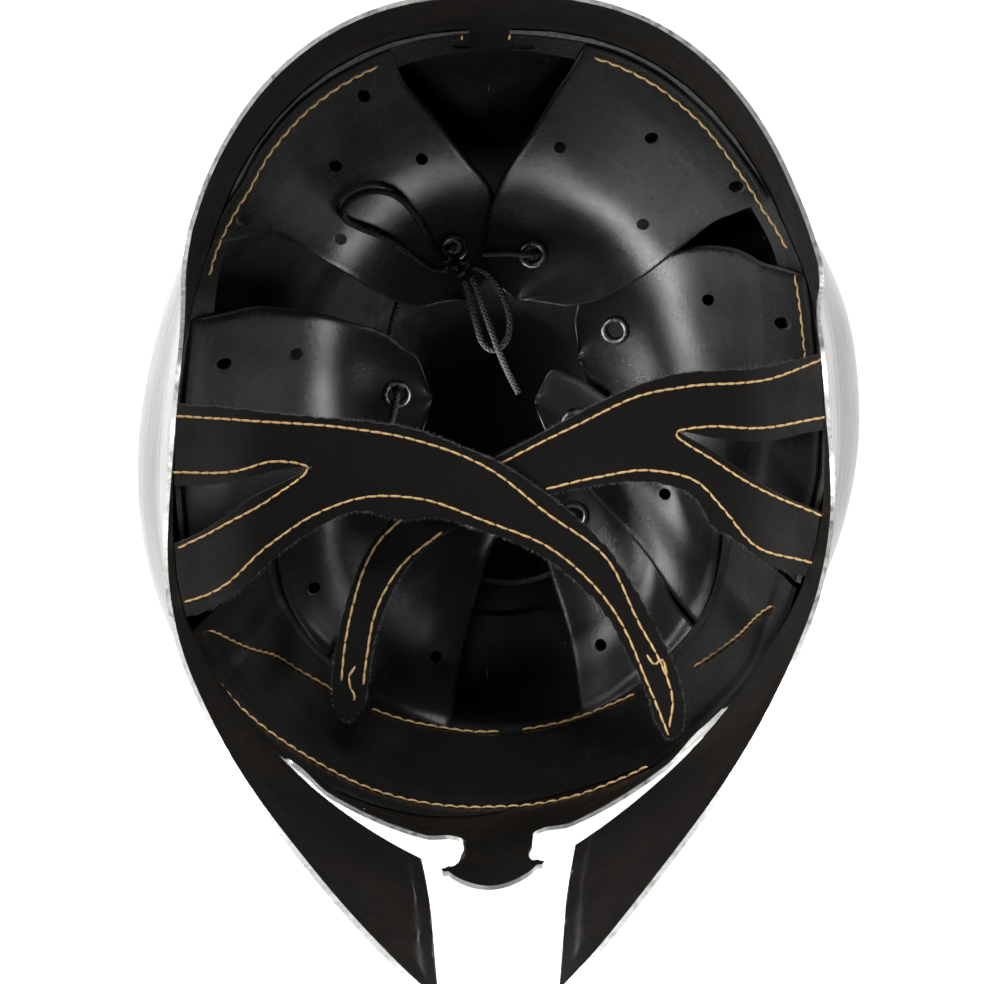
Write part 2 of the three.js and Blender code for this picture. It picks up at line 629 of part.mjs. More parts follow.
// Lace, tied in a bow.
function onLining([x, y, lift]) {
  // A point at a height over the lining, from its place seen from above.
  const turn = (Math.atan2(x, y - LINING_AXIS_Y) * 180) / Math.PI;
  const edge = lookup(LINING_EDGE, 'deg', Math.abs(turn));
  let rise = 0;
  for (let i = 0; i < 8; i++) {
    const sine = Math.hypot(x, y - LINING_AXIS_Y) / edge.r / (1 - edge.lean * (1 - rise));
    rise = (1 - Math.sqrt(1 - Math.min(1, sine * sine))) ** LINING_BOWL;
  }
  return [x * WIDE, y * LONG, (LINING_FLOOR + (edge.z - LINING_FLOOR) * rise) * TALL + lift];
}

function cord(points, steps) {
  // A round cord through the given points.
  const path = new THREE.CatmullRomCurve3(points.map((p) => new THREE.Vector3(...p)), false, 'centripetal');
  const section = new THREE.Shape();
  section.absarc(0, 0, LACE / 2, 0, Math.PI * 2, false);
  const g = new THREE.ExtrudeGeometry(section, { steps, curveSegments: 4, extrudePath: path, bevelEnabled: false });
  return solid(g);
}
const black = '#0f0e0e';
function pass([name, way]) {
  // Three points through an eyelet, along its axis.
  const { centre, turn } = eyelets.find((e) => e.name === name);
  const axis = new THREE.Vector3(0, way === 'up' ? 1 : -1, 0).applyQuaternion(turn);
  return [-2.3, 0, 2.3].map((d) => centre.clone().addScaledVector(axis, d).toArray());
}
const laceRing = LACE_RING.flatMap((row) => (row.length === 2 ? pass(row) : [lining(...row)]));
const laceLeft = LACE_LOOP_LEFT.map(onLining);
const laceRight = LACE_LOOP_RIGHT.map(onLining);
const laceEnd = LACE_END.map(onLining);
add('lace_ring', geometryOf(cord(laceRing, 84)), black, 0.9, 0);
add('lace_loop_left', geometryOf(cord(laceLeft, 26)), black, 0.9, 0);
add('lace_loop_right', geometryOf(cord(laceRight, 22)), black, 0.9, 0);
add('lace_end', geometryOf(cord(laceEnd, 10)), black, 0.9, 0);
const knot = new THREE.SphereGeometry(KNOT_SIZE, 12, 8);
knot.scale(1.05, 1, 0.9);
knot.translate(...onLining(KNOT));
add('lace_knot', geometryOf(solid(knot)), black, 0.9, 0);

// The origin is the middle of the outline seen from above, on the surface that the crown rests on.
const extent = new THREE.Box3().setFromObject(group);
const middle = extent.getCenter(new THREE.Vector3());
group.position.set(-middle.x, -middle.y, -extent.min.z);

export default group;
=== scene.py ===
import math

import bmesh
import bpy
import numpy as np
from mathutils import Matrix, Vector


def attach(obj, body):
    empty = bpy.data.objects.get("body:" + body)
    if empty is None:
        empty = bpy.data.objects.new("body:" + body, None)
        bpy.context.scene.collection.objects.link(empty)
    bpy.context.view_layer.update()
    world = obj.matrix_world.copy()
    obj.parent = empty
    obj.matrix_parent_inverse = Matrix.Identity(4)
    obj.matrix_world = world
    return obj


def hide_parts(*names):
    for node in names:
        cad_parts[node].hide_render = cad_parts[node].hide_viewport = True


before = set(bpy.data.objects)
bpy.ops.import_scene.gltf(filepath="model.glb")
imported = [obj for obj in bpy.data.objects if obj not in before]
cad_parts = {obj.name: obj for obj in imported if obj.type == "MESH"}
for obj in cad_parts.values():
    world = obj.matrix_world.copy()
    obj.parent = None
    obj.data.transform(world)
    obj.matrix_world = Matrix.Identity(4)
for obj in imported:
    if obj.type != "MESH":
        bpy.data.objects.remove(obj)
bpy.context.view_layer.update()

# Camera: looks almost straight down into the open rim, tipped seven degrees so that it sees
# a little more of the face wall, from far enough that the rim and the crown keep their sizes.
camera = bpy.data.objects.new("camera", bpy.data.cameras.new("camera"))
camera.data.lens = 135.6
camera.data.sensor_width = 36
camera.location = (-0.0018, 0.1189, 1.2418)
camera.rotation_euler = (math.radians(-7), 0, 0)
bpy.context.scene.collection.objects.link(camera)
bpy.context.scene.camera = camera

# Light: soft boxes high on the left, on the right, on the face side and on the nape side, four small
# ones low in the open bowl that bring out the sheen of the petals, and a pale room. The floor is a
# plain white sheet.
def soft_box(name, place, target, size, power, spread=180):
    """A rectangular area light at a place, turned to face the target, its spread in degrees."""
    lamp = bpy.data.lights.new(name, "AREA")
    lamp.shape = "RECTANGLE"
    lamp.size, lamp.size_y = size
    lamp.energy = power
    lamp.spread = math.radians(spread)
    item = bpy.data.objects.new(name, lamp)
    item.location = place
    item.rotation_euler = (Vector(target) - Vector(place)).to_track_quat("-Z", "Y").to_euler()
    item.visible_camera = False
    bpy.context.scene.collection.objects.link(item)
    return item


soft_box("key", (-0.95, 0.2, 1.25), (0, 0, 0.1), (0.3, 0.8), 17)
soft_box("side", (0.95, 0.25, 1.2), (0, 0, 0.1), (0.3, 0.6), 6)
soft_box("face_side", (-0.35, -1.1, 1.3), (0, 0, 0.1), (0.6, 0.3), 5)
soft_box("nape_side", (0.1, 1.1, 1.25), (0, -0.03, 0.1), (0.5, 0.3), 14)
soft_box("bowl_rear", (-0.006, 0.002, 0.056), (0.05, 0.042, 0.055), (0.036, 0.02), 0.0105, 100)
soft_box("bowl_nape", (0.008, -0.004, 0.06), (-0.034, 0.056, 0.056), (0.03, 0.02), 0.0045, 110)
soft_box("bowl_right", (-0.012, -0.03, 0.08), (0.06, -0.036, 0.056), (0.02, 0.03), 0.009, 110)
soft_box("bowl_left", (0.004, -0.014, 0.062), (-0.06, -0.01, 0.056), (0.04, 0.02), 0.007, 120)
world = bpy.data.worlds.new("pale_room")
bpy.context.scene.world = world
world.use_nodes = True
sky = world.node_tree
height = sky.nodes.new("ShaderNodeSeparateXYZ")
sky.links.new(sky.nodes.new("ShaderNodeTexCoord").outputs["Generated"], height.inputs[0])
fall = sky.nodes.new("ShaderNodeValToRGB")
fall.color_ramp.elements[0].position = 0.25
fall.color_ramp.elements[0].color = (1, 1, 1, 1)
fall.color_ramp.elements[1].position = 0.85
fall.color_ramp.elements[1].color = (0.045, 0.045, 0.045, 1)
sky.links.new(height.outputs["Z"], fall.inputs["Fac"])
sky.links.new(fall.outputs["Color"], sky.nodes["Background"].inputs["Color"])
sky.nodes["Background"].inputs["Strength"].default_value = 0.9
bpy.context.scene.view_settings.view_transform = "Standard"

floor_mesh = bpy.data.meshes.new("floor")
floor_mesh.from_pydata([(-4, -4, 0), (4, -4, 0), (4, 4, 0), (-4, 4, 0)], [], [(0, 1, 2, 3)])
floor = bpy.data.objects.new("floor", floor_mesh)
bpy.context.scene.collection.objects.link(floor)
paper = bpy.data.materials.new("white_sheet")
paper.use_nodes = True
paper.node_tree.nodes["Principled BSDF"].inputs["Base Color"].default_value = (0.93, 0.93, 0.93, 1)
paper.node_tree.nodes["Principled BSDF"].inputs["Roughness"].default_value = 0.9
paper.node_tree.nodes["Principled BSDF"].inputs["Emission Color"].default_value = (1, 1, 1, 1)
paper.node_tree.nodes["Principled BSDF"].inputs["Emission Strength"].default_value = 0.5
floor_mesh.materials.append(paper)

# Steel shell: one raised sheet 1.2 mm thick, polished outside and painted black inside, lying on
# its crown. The rim, the eye slots, the nasal and the face gap are cut out of it, and the cut edges
# stay bright.
MM = 0.001
MIDDLE_Y = 15.13  # the piece tables below have their zero this far behind the middle of the outline
WALL = 1.2
GAP = 0.35
LEATHER = 1.9
WIDTH = 220
WIDEST = 118  # height of the widest section, where the crown's dome begins
CROWN_FLAT = 0.25
SKEW = 0.085  # the right side sits further back than the left
# Height, half width as a share of the width, front, back, prow share, back fullness.
SECTIONS = np.array([
    (118, 0.5, -105, 132, 0, 2), (128, 0.496, -105.8, 132, 0.08, 2), (138, 0.483, -106, 131.6, 0.17, 2.05),
    (146, 0.469, -105.8, 131.2, 0.25, 2.1), (151, 0.46, -105.4, 131, 0.3, 2.15),
    (158, 0.4545, -105.6, 131.2, 0.34, 2.2), (166, 0.447, -106, 131.8, 0.38, 2.25),
    (176, 0.438, -106.6, 133, 0.44, 2.3), (187, 0.431, -107.6, 134.6, 0.5, 2.4),
    (198, 0.426, -108.8, 136.6, 0.62, 2.45), (210, 0.423, -110.4, 138.4, 0.76, 2.5),
    (224, 0.422, -112.6, 141.4, 0.9, 2.5), (238, 0.423, -115, 144, 1, 2.5),
    (252, 0.424, -117.4, 146.6, 1, 2.5),
    (268, 0.423, -119.8, 150, 1, 2.5), (286, 0.42, -122.4, 153, 1, 2.5), (306, 0.418, -125.2, 156, 1, 2.5),
])
# Rim seen from the side: place along Y and height, ear notch as a share of the way to the neck corner.
RIM = [
    (20, 212.5), (8.5, 224.5), (3, 227), (-20, 231.5), (-51, 241), (-66, 251), (-78, 261.5), (-90, 275),
    (-99, 285.5), (-108, 295), (-116, 301), (-150, 301),
]
RIM_EAR = [
    (1, 246), (0.78, 238), (0.55, 224), (0.3, 209), (0.1, 201), (0, 199.6), (-0.2, 200.6), (-0.42, 204.8),
]
NECK_CORNER = {"left": 84, "right": 70}
# Face opening seen from the front: brow and nasal from the left slot to the right one, then the
# cheeks' upper edges and their edges along the gap.
BROW_LEFT = [(-66, 163.5), (-57, 156.5), (-46, 152.6), (-30, 150.6), (-15, 150.4)]
NASAL_SIDE = [
    (-15, 150.4), (-11.2, 153), (-10.4, 160), (-10.3, 180), (-10.4, 196), (-11.4, 201.4), (-13.8, 206.6),
    (-11.6, 210), (-6.4, 212.7), (0, 213.8),
]
BROW_RIGHT = [(15, 150.4), (32, 150.6), (49, 152.6), (61, 156.5), (71, 163.5)]
CHEEK_RIGHT = [(71, 166.5), (62, 171), (50, 177), (32, 184), (21.5, 187.5)]
CHEEK_LEFT = [(-21.5, 187.5), (-31, 184), (-48, 177), (-58, 171), (-66, 166.5)]
GAP_EDGE = [(21.5, 187.5), (17.6, 245), (13.4, 330)]


def eased(xs, ys, x):
    """Values of a table at x on a smooth curve: cubic pieces whose slopes are those between neighbours."""
    xs, ys, x = np.asarray(xs, float), np.asarray(ys, float), np.asarray(x, float)
    slope = np.gradient(ys, xs)
    i = np.clip(np.searchsorted(xs, x) - 1, 0, len(xs) - 2)
    h = xs[i + 1] - xs[i]
    t = np.clip((x - xs[i]) / h, 0, 1)
    low = (2 * t**3 - 3 * t**2 + 1) * ys[i] + (t**3 - 2 * t**2 + t) * h * slope[i]
    return low + (3 * t**2 - 2 * t**3) * ys[i + 1] + (t**3 - t**2) * h * slope[i + 1]


def smoothstep(x, low, high):
    """0 below low, 1 above high, eased between."""
    t = np.clip((np.asarray(x, float) - low) / (high - low), 0, 1)
    return t * t * (3 - 2 * t)


def rounded(points, step):
    """A line through the points in order, eased by the length along it, with a point about every step."""
    p = np.array(points, float)
    along = np.r_[0, np.cumsum(np.linalg.norm(np.diff(p, axis=0), axis=1))]
    at = np.linspace(0, along[-1], max(2, int(round(along[-1] / step)) + 1))
    return np.stack([eased(along, p[:, k], at) for k in range(p.shape[1])], axis=1)


def unit(v):
    """Vectors scaled to length one."""
    return v / np.maximum(np.linalg.norm(v, axis=-1, keepdims=True), 1e-12)


def centre_line(z):
    """Where the sections have their centre along Y: 12 up to the widest one, and 3 from 69 mm above it."""
    return 12 + (3 - 12) * np.clip((z - WIDEST) / 69, 0, 1)


def section_point(turn, z, share):
    """Points of the outside: turn 0 is the nape and 0.5 the face, share scales the ring for the dome.
    The back is a rounded box, and the face runs from an oval to a pointed prow as the prow share grows."""
    turn, z, share = np.broadcast_arrays(turn, z, share)
    half, front, back, prow, full = (eased(SECTIONS[:, 0], SECTIONS[:, k], z) for k in range(1, 6))
    centre = centre_line(z)
    c, s = np.cos(2 * np.pi * turn), np.sin(2 * np.pi * turn)
    q = np.clip(-c, 0, 1)
    wide = (1 - prow) * np.sqrt(np.maximum(0, 1 - q * q)) + prow * (1 - q**2.2)
    box = np.abs(s) ** (2 / full)
    x = half * WIDTH * np.sign(s) * np.where(c >= 0, box, wide)
    y = np.where(c >= 0, (back - centre) * np.clip(c, 0, 1) ** (2 / full), -(centre - front) * q)
    return np.stack([x * share, centre + y * share, z], axis=-1)


def dents(p):
    """Slight unevenness of a raised sheet, in millimetres: a few long crossing waves."""
    x, y, z = p[..., 0], p[..., 1], p[..., 2]
    wave = np.sin(x / 17 + 1.3 * np.sin(z / 29)) * np.sin(z / 21 + y / 37)
    return 0.22 * wave + 0.12 * np.sin(y / 11 + x / 23) * np.sin(z / 13 + 0.7)


def skew(p):
    """Moves points back on the right and forward on the left: in full up to 35 mm, fading out by 95."""
    p[..., 1] += SKEW * p[..., 0] * np.clip((95 - p[..., 1]) / 60, 0, 1)


def points_of(mesh):
    """The points of a mesh, one in a row."""
    p = np.zeros(len(mesh.vertices) * 3, np.float32)
    mesh.vertices.foreach_get("co", p)
    return p.reshape(-1, 3)


def set_points(mesh, p):
    """Moves the points of a mesh to places in millimetres."""
    mesh.vertices.foreach_set("co", ((p - (0, MIDDLE_Y, 0)) * MM).astype(np.float32).ravel())


def set_value(mesh, name, values):
    """Keeps a number for each point of a mesh, which the finish reads by its name."""
    mesh.attributes.new(name, "FLOAT", "POINT").data.foreach_set("value", values.astype(np.float32))


def new_mesh(name, points, faces, groups=None, materials=(), sharp=38, metres=True):
    """An object from points in millimetres and faces, moved to the row frame, smooth but for edges
    sharper than the angle. groups gives each face's material."""
    mesh = bpy.data.meshes.new(name)
    p = np.array(points, float)
    if metres:
        p = (p - (0, MIDDLE_Y, 0)) * MM
    mesh.from_pydata(p, [], faces)
    for m in materials:
        mesh.materials.append(m)
    if groups is not None:
        mesh.polygons.foreach_set("material_index", np.asarray(groups, np.int32))
    mesh.update()
    item = bpy.data.objects.new(name, mesh)
    bpy.context.scene.collection.objects.link(item)
    outward(item, sharp)
    return item


def outward(item, sharp=38):
    """Turns the faces out and shades them smooth, but for edges sharper than the angle."""
    work = bmesh.new()
    work.from_mesh(item.data)
    bmesh.ops.recalc_face_normals(work, faces=work.faces)
    if work.calc_volume(signed=True) < 0:
        bmesh.ops.reverse_faces(work, faces=work.faces)
    work.to_mesh(item.data)
    work.free()
    item.data.polygons.foreach_set("use_smooth", np.ones(len(item.data.polygons), bool))
    item.data.set_sharp_from_angle(angle=math.radians(sharp))


def grid_faces(rows, cols, start, around):
    """Quads of a grid of points numbered row by row from start, closed around if asked."""
    r, c = np.meshgrid(np.arange(rows - 1), np.arange(cols if around else cols - 1), indexing="ij")
    n = (c + 1) % cols
    quads = np.stack([r * cols + c, r * cols + n, (r + 1) * cols + n, (r + 1) * cols + c], axis=-1)
    return quads.reshape(-1, 4) + start


def carve(item, cutter, how):
    """Cuts the item by the cutter, keeps the result in its mesh and removes the cutter."""
    for slot, finish in enumerate(item.data.materials):
        if slot < len(cutter.data.materials):
            cutter.data.materials[slot] = finish
    cut = item.modifiers.new("cut", "BOOLEAN")
    cut.operation = how
    cut.solver = "MANIFOLD"
    cut.object = cutter
    done = bpy.data.meshes.new_from_object(item.evaluated_get(bpy.context.evaluated_depsgraph_get()))
    item.modifiers.clear()
    old = item.data
    item.data = done
    done.name = item.name
    bpy.data.meshes.remove(old)
    bpy.data.objects.remove(cutter)


def prism(name, outline, low, high, axes, group, count):
    """A prism over an outline: axes gives which coordinates the outline and the length fill, group the
    material of its faces out of count."""
    n = len(outline)
    p = np.zeros((2 * n, 3))
    p[:, axes[0]] = np.tile(outline[:, 0], 2)
    p[:, axes[1]] = np.tile(outline[:, 1], 2)
    p[:, axes[2]] = np.repeat([low, high], n)
    i = np.arange(n)
    k = (i + 1) % n
    faces = [list(range(n)), list(range(2 * n - 1, n - 1, -1))] + np.stack([i, k, k + n, i + n], 1).tolist()
    return new_mesh(name, p, faces, groups=[group] * (n + 2), materials=(None,) * count, metres=False)


def finish_tree(name):
    """A new node material with its tree and shader."""
    m = bpy.data.materials.new(name)
    m.use_nodes = True
    return m, m.node_tree, m.node_tree.nodes["Principled BSDF"]


def texture(tree, kind, vector=None, **values):
    """A node of a kind with its inputs set, fed with the vector if one is given."""
    item = tree.nodes.new(kind)
    for key, value in values.items():
        if key in item.inputs:
            item.inputs[key].default_value = value
        else:
            setattr(item, key, value)
    if vector is not None:
        tree.links.new(vector, item.inputs["Vector"])
    return item


def place_of(tree, scale=(1, 1, 1)):
    """The object's own coordinates, stretched by the scale."""
    start = tree.nodes.new("ShaderNodeTexCoord").outputs["Object"]
    if tuple(scale) == (1, 1, 1):
        return start
    bend = texture(tree, "ShaderNodeMapping", start)
    bend.inputs["Scale"].default_value = scale
    return bend.outputs["Vector"]


def ramp(tree, value, stops):
    """A colour ramp over a value: stops are place and colour."""
    item = tree.nodes.new("ShaderNodeValToRGB")
    while len(item.color_ramp.elements) < len(stops):
        item.color_ramp.elements.new(0.5)
    for element, (at, colour) in zip(item.color_ramp.elements, stops):
        element.position = at
        element.color = (*colour, 1) if len(colour) == 3 else (colour[0], colour[0], colour[0], 1)
    tree.links.new(value, item.inputs["Fac"])
    return item.outputs["Color"]


def noise(tree, scale, detail, stretch=(1, 1, 1), **more):
    """Fractal noise over the object's own coordinates, stretched if asked."""
    item = texture(tree, "ShaderNodeTexNoise", place_of(tree, stretch), Scale=scale, Detail=detail, **more)
    return item.outputs["Fac"]


def feed(tree, shader, socket, value, stops):
    """Feeds an input of the shader with a colour ramp over a value."""
    tree.links.new(ramp(tree, value, stops), shader.inputs[socket])


def mixed(tree, share, a, b):
    """Colours a and b mixed by the share; each may be a socket or a fixed colour."""
    item = tree.nodes.new("ShaderNodeMix")
    item.data_type = "RGBA"
    for socket, value in ((item.inputs[0], share), (item.inputs[6], a), (item.inputs[7], b)):
        if isinstance(value, bpy.types.NodeSocket):
            tree.links.new(value, socket)
        else:
            socket.default_value = value
    return item.outputs[2]


def maths(tree, how, a, b=0.0):
    """One arithmetic step; each side may be a socket or a number."""
    item = tree.nodes.new("ShaderNodeMath")
    item.operation = how
    for socket, value in ((item.inputs[0], a), (item.inputs[1], b)):
        if isinstance(value, bpy.types.NodeSocket):
            tree.links.new(value, socket)
        else:
            socket.default_value = value
    return item.outputs[0]


def bumped(tree, shader, heights):
    """Bumps on the shader, one after the other: each is a socket, its depth in metres and a strength."""
    before = None
    for height, depth, strength in heights:
        item = texture(tree, "ShaderNodeBump", Distance=depth, Strength=strength)
        tree.links.new(height, item.inputs["Height"])
        if before is not None:
            tree.links.new(before, item.inputs["Normal"])
        before = item.outputs["Normal"]
    tree.links.new(before, shader.inputs["Normal"])


# Finish of the outside: bright polished steel with faint streaks and clouding.
polished, tree, shader = finish_tree("polished_steel")
shader.inputs["Metallic"].default_value = 1
cloud = noise(tree, 14, 5)
streak = noise(tree, 1, 3, (40, 40, 900))
feed(tree, shader, "Base Color", cloud, [(0.3, (0.15, 0.15, 0.149)), (0.7, (0.27, 0.27, 0.266))])
feed(tree, shader, "Roughness", streak, [(0.2, (0.16,)), (0.8, (0.34,))])
bumped(tree, shader, [(streak, 0.0002, 0.12), (cloud, 0.001, 0.15)])

# Finish of the inside: satin black paint with a brown cast, worn through to steel in a ragged line
# along the rim and in small specks and scratches.
paint, tree, shader = finish_tree("black_paint")
edge = texture(tree, "ShaderNodeAttribute", attribute_name="edge_mm").outputs["Fac"]
rag = noise(tree, 210, 6, Roughness=0.65)
coarse = noise(tree, 26, 4)
speck = noise(tree, 560, 2)
scratch = noise(tree, 1, 2, (900, 60, 70))
line = maths(tree, "MULTIPLY", maths(tree, "SUBTRACT", coarse, 0.42), 5.0)
line = maths(tree, "ADD", line, maths(tree, "MULTIPLY", maths(tree, "SUBTRACT", rag, 0.5), 3.0))
bare = maths(tree, "GREATER_THAN", line, maths(tree, "ADD", edge, 0.15))
pin = maths(tree, "GREATER_THAN", speck, 0.775)
nick = maths(tree, "GREATER_THAN", scratch, 0.79)
bare = maths(tree, "MAXIMUM", bare, maths(tree, "MULTIPLY", maths(tree, "MAXIMUM", pin, nick), 0.55))
tint = ramp(tree, coarse, [
    (0.35, (0.007, 0.0064, 0.006)), (0.62, (0.0105, 0.0086, 0.0076)), (0.78, (0.018, 0.0125, 0.0095))])
tree.links.new(mixed(tree, bare, tint, (0.55, 0.54, 0.52, 1)), shader.inputs["Base Color"])
tree.links.new(bare, shader.inputs["Metallic"])
feed(tree, shader, "Roughness", rag, [(0.3, (0.34,)), (0.7, (0.52,))])
shader.inputs["Specular IOR Level"].default_value = 0.32
bumped(tree, shader, [(rag, 0.0003, 0.35), (coarse, 0.002, 0.2)])

# Finish of the cut edges: bare ground steel, brighter than the rest.
cut_steel, tree, shader = finish_tree("cut_steel")
shader.inputs["Metallic"].default_value = 1
grind = noise(tree, 420, 4)
feed(tree, shader, "Base Color", grind, [(0.3, (0.42, 0.41, 0.39)), (0.65, (0.85, 0.85, 0.84))])
feed(tree, shader, "Roughness", grind, [(0.3, (0.5,)), (0.7, (0.25,))])
bumped(tree, shader, [(grind, 0.0003, 0.4)])

share_rows = np.r_[0.03, 0.08, 0.13, 0.18, 0.22, np.linspace(0.25, 0.985, 42)]
dome_z = WIDEST * (1 - np.sqrt(1 - share_rows**2) / math.sqrt(1 - CROWN_FLAT**2))
dome_z = np.where(dome_z < -1, 0, np.where(dome_z > 1, dome_z, (dome_z + 1) ** 2 / 4))
wall_z = np.r_[np.arange(WIDEST, 148, 2.5), 148.5, 149.8, 151, 152.2, 153.5, np.arange(155.5, 306, 2.1), 306]
u = np.arange(256) / 256
turn = u + 0.07 * np.sin(2 * np.pi * u)
dome = section_point(turn[None, :], np.full((len(share_rows), 1), float(WIDEST)), share_rows[:, None])
dome[..., 2] = dome_z[:, None]
wall = section_point(turn[None, :], wall_z[:, None] + 0 * turn[None, :], 1)
skin = np.concatenate([dome, wall])
side = np.roll(skin, -1, axis=1) - np.roll(skin, 1, axis=1)
normal = unit(np.cross(side, np.gradient(skin, axis=0)))
facing = np.sum(normal * (skin - (0, 8, 120)), axis=-1, keepdims=True)
normal = normal * np.sign(facing)
normal[:5] = (0, 0, -1)
skin = skin + normal * (dents(skin) * smoothstep(skin[..., 2], 2, 30))[..., None]
inner = skin - normal * WALL
rows, cols = skin.shape[:2]
count = rows * cols
points = np.concatenate([skin.reshape(-1, 3), inner.reshape(-1, 3), [(0, 12, 0), (0, 12, WALL)]])
outer_faces = grid_faces(rows, cols, 0, True)
inner_faces = grid_faces(rows, cols, count, True)[:, ::-1]
i = np.arange(cols)
k = (i + 1) % cols
top = np.stack([i, k, k + count, i + count], 1) + (rows - 1) * cols
crown = np.full(cols, 2 * count)
fans = np.concatenate([np.stack([k, i, crown], 1), np.stack([i + count, k + count, crown + 1], 1)])
faces = outer_faces.tolist() + inner_faces.tolist() + top.tolist() + fans.tolist()
groups = [0] * len(outer_faces) + [1] * len(inner_faces) + [2] * cols + [0] * cols + [1] * cols
shell = new_mesh(
    "shell_steel", points, faces, groups=groups, materials=(polished, paint, cut_steel), metres=False)

for name, low, high in (("left", -230, 0.31), ("right", -0.31, 230)):
    ear = [(43.5 + s * ((NECK_CORNER[name] - 43.5) if s > 0 else 40), z) for s, z in RIM_EAR]
    line = rounded([(170, 250), *ear[:1]], 20).tolist() + rounded(ear + RIM, 3).tolist()[1:]
    outline = np.array(line + [(-150, 400), (170, 400)])
    carve(shell, prism("rim_cut", outline, low, high, (1, 2, 0), 2, 3), "DIFFERENCE")
nasal = rounded(NASAL_SIDE + [(-nx, nz) for nx, nz in NASAL_SIDE[-2::-1]], 1.2)
gap_right = np.array(GAP_EDGE)
outline = np.concatenate([
    rounded(BROW_LEFT, 2)[:-1], nasal[:-1], rounded(BROW_RIGHT, 2), rounded(CHEEK_RIGHT, 2),
    gap_right[1:], gap_right[:0:-1] * (-1, 1), rounded(CHEEK_LEFT, 2),
])
carve(shell, prism("face_cut", outline, -240, -30, (0, 2, 1), 2, 3), "DIFFERENCE")

mesh = shell.data
p = points_of(mesh).astype(float)
cut_corners = [v for f in mesh.polygons if f.material_index == 2 for v in f.vertices]
cut = np.unique(np.array(cut_corners))
edge_mm = np.full(len(p), 99.0)
for start in range(0, len(p), 4000):
    part = p[start:start + 4000]
    edge_mm[start:start + 4000] = np.sqrt(((part[:, None] - p[cut][None]) ** 2).sum(2).min(1))
x, y, z = p.T
centre = centre_line(z)
front = eased(SECTIONS[:, 0], SECTIONS[:, 2], z)
q = np.clip((centre - y) / (centre - front), 0, 1)
out_x = np.sign(x) * 2.2 * np.maximum(q, 0.02) ** 1.2
out_y = -(centre - front) / 93 * (0.35 + 0.65 * q) - 0.15
aim = unit(np.stack([out_x, out_y, 0 * z], 1))
cheek = (z > 160) & (y < -20) & (np.abs(x) > 13)
border = 1.0 * (1 - smoothstep(edge_mm, 4.6, 6.6)) * smoothstep(-y, 35, 60)
brow = (z < 168) & (z > 140) & (y < -30) & (np.abs(x) > 13)
flange = 2.2 * (1 - smoothstep(edge_mm, 0, 6.5)) ** 2 * smoothstep(np.abs(x), 13, 20)
flange = flange * (1 - smoothstep(np.abs(x), 48, 60))
p = p + aim * (border * cheek + flange * brow)[:, None]
nasal_part = (np.abs(x) < 16) & (y < -60) & (z < 217)
prow = eased(SECTIONS[:, 0], SECTIONS[:, 4], z)
half = eased(SECTIONS[:, 0], SECTIONS[:, 1], z) * WIDTH
low, high = np.zeros_like(x), np.ones_like(x)
for _ in range(24):
    mid = (low + high) / 2
    wide = ((1 - prow) * np.sqrt(1 - mid**2) + prow * (1 - mid**2.2)) * half
    low, high = np.where(wide > np.abs(x), mid, low), np.where(wide > np.abs(x), high, mid)
pointed = (centre - front) * (1 - low)
p[:, 1] += np.where(nasal_part, (0.021 * x**2 - pointed) * smoothstep(z, 172, 204), 0)
p[:, 1] += np.where(nasal_part, 5.5 * smoothstep(z, 158, 216), 0)
p[:, 0] -= np.where(nasal_part, 1.6 * smoothstep(z, 165, 205), 0)
skew(p)
set_points(mesh, p)
set_value(mesh, "edge_mm", edge_mm)
mesh.update()
outward(shell, 32)
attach(shell, "root")
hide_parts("shell")

coarse_rows = np.r_[4:rows - 1:3, rows - 1]
room_points = (inner - normal * GAP)[coarse_rows][:, ::3]
skew(room_points)


def fit_inside(item):
    """Trims what reaches into the steel: keeps the part of the item inside the inner face less the gap."""
    r, c = room_points.shape[:2]
    ends = [(0, 12, room_points[0, 0, 2]), (0, 12, room_points[-1, 0, 2])]
    k = np.arange(c)
    n = (k + 1) % c
    faces = grid_faces(r, c, 0, True).tolist() + np.stack([n, k, 0 * k + r * c], 1).tolist()
    faces += np.stack([k + (r - 1) * c, n + (r - 1) * c, 0 * k + r * c + 1], 1).tolist()
    points = np.concatenate([room_points.reshape(-1, 3), ends])
    cutter = new_mesh("room", points, faces, groups=[1] * len(faces), materials=(None, None))
    carve(item, cutter, "INTERSECT")


# Petals: eight tongues of smooth black leather sewn in at their wide ends, with punched holes and a
# rounded tip each, drawn together over the crown by a lace.
LINING_AXIS_Y = 17
LINING_FLOOR = 44
LINING_BOWL = 2.2
# Degrees from the nape, distance from the axis, height of the sewn edge, lean towards the floor.
LINING_EDGE = np.array([
    (0, 116.5, 204, 0.12), (15, 114.5, 203, 0.12), (27, 110, 198, 0.12), (42, 104, 190, 0.12),
    (55, 99.5, 183, 0.12), (70, 92, 176, 0.12), (90, 87.5, 169, 0.12), (105, 89.5, 162, 0.12),
    (118, 96, 155, 0.11), (132, 107, 147, 0.09), (147, 112.5, 138, 0.06), (160, 116.5, 129, 0.04),
    (180, 119, 124, 0.02),
])
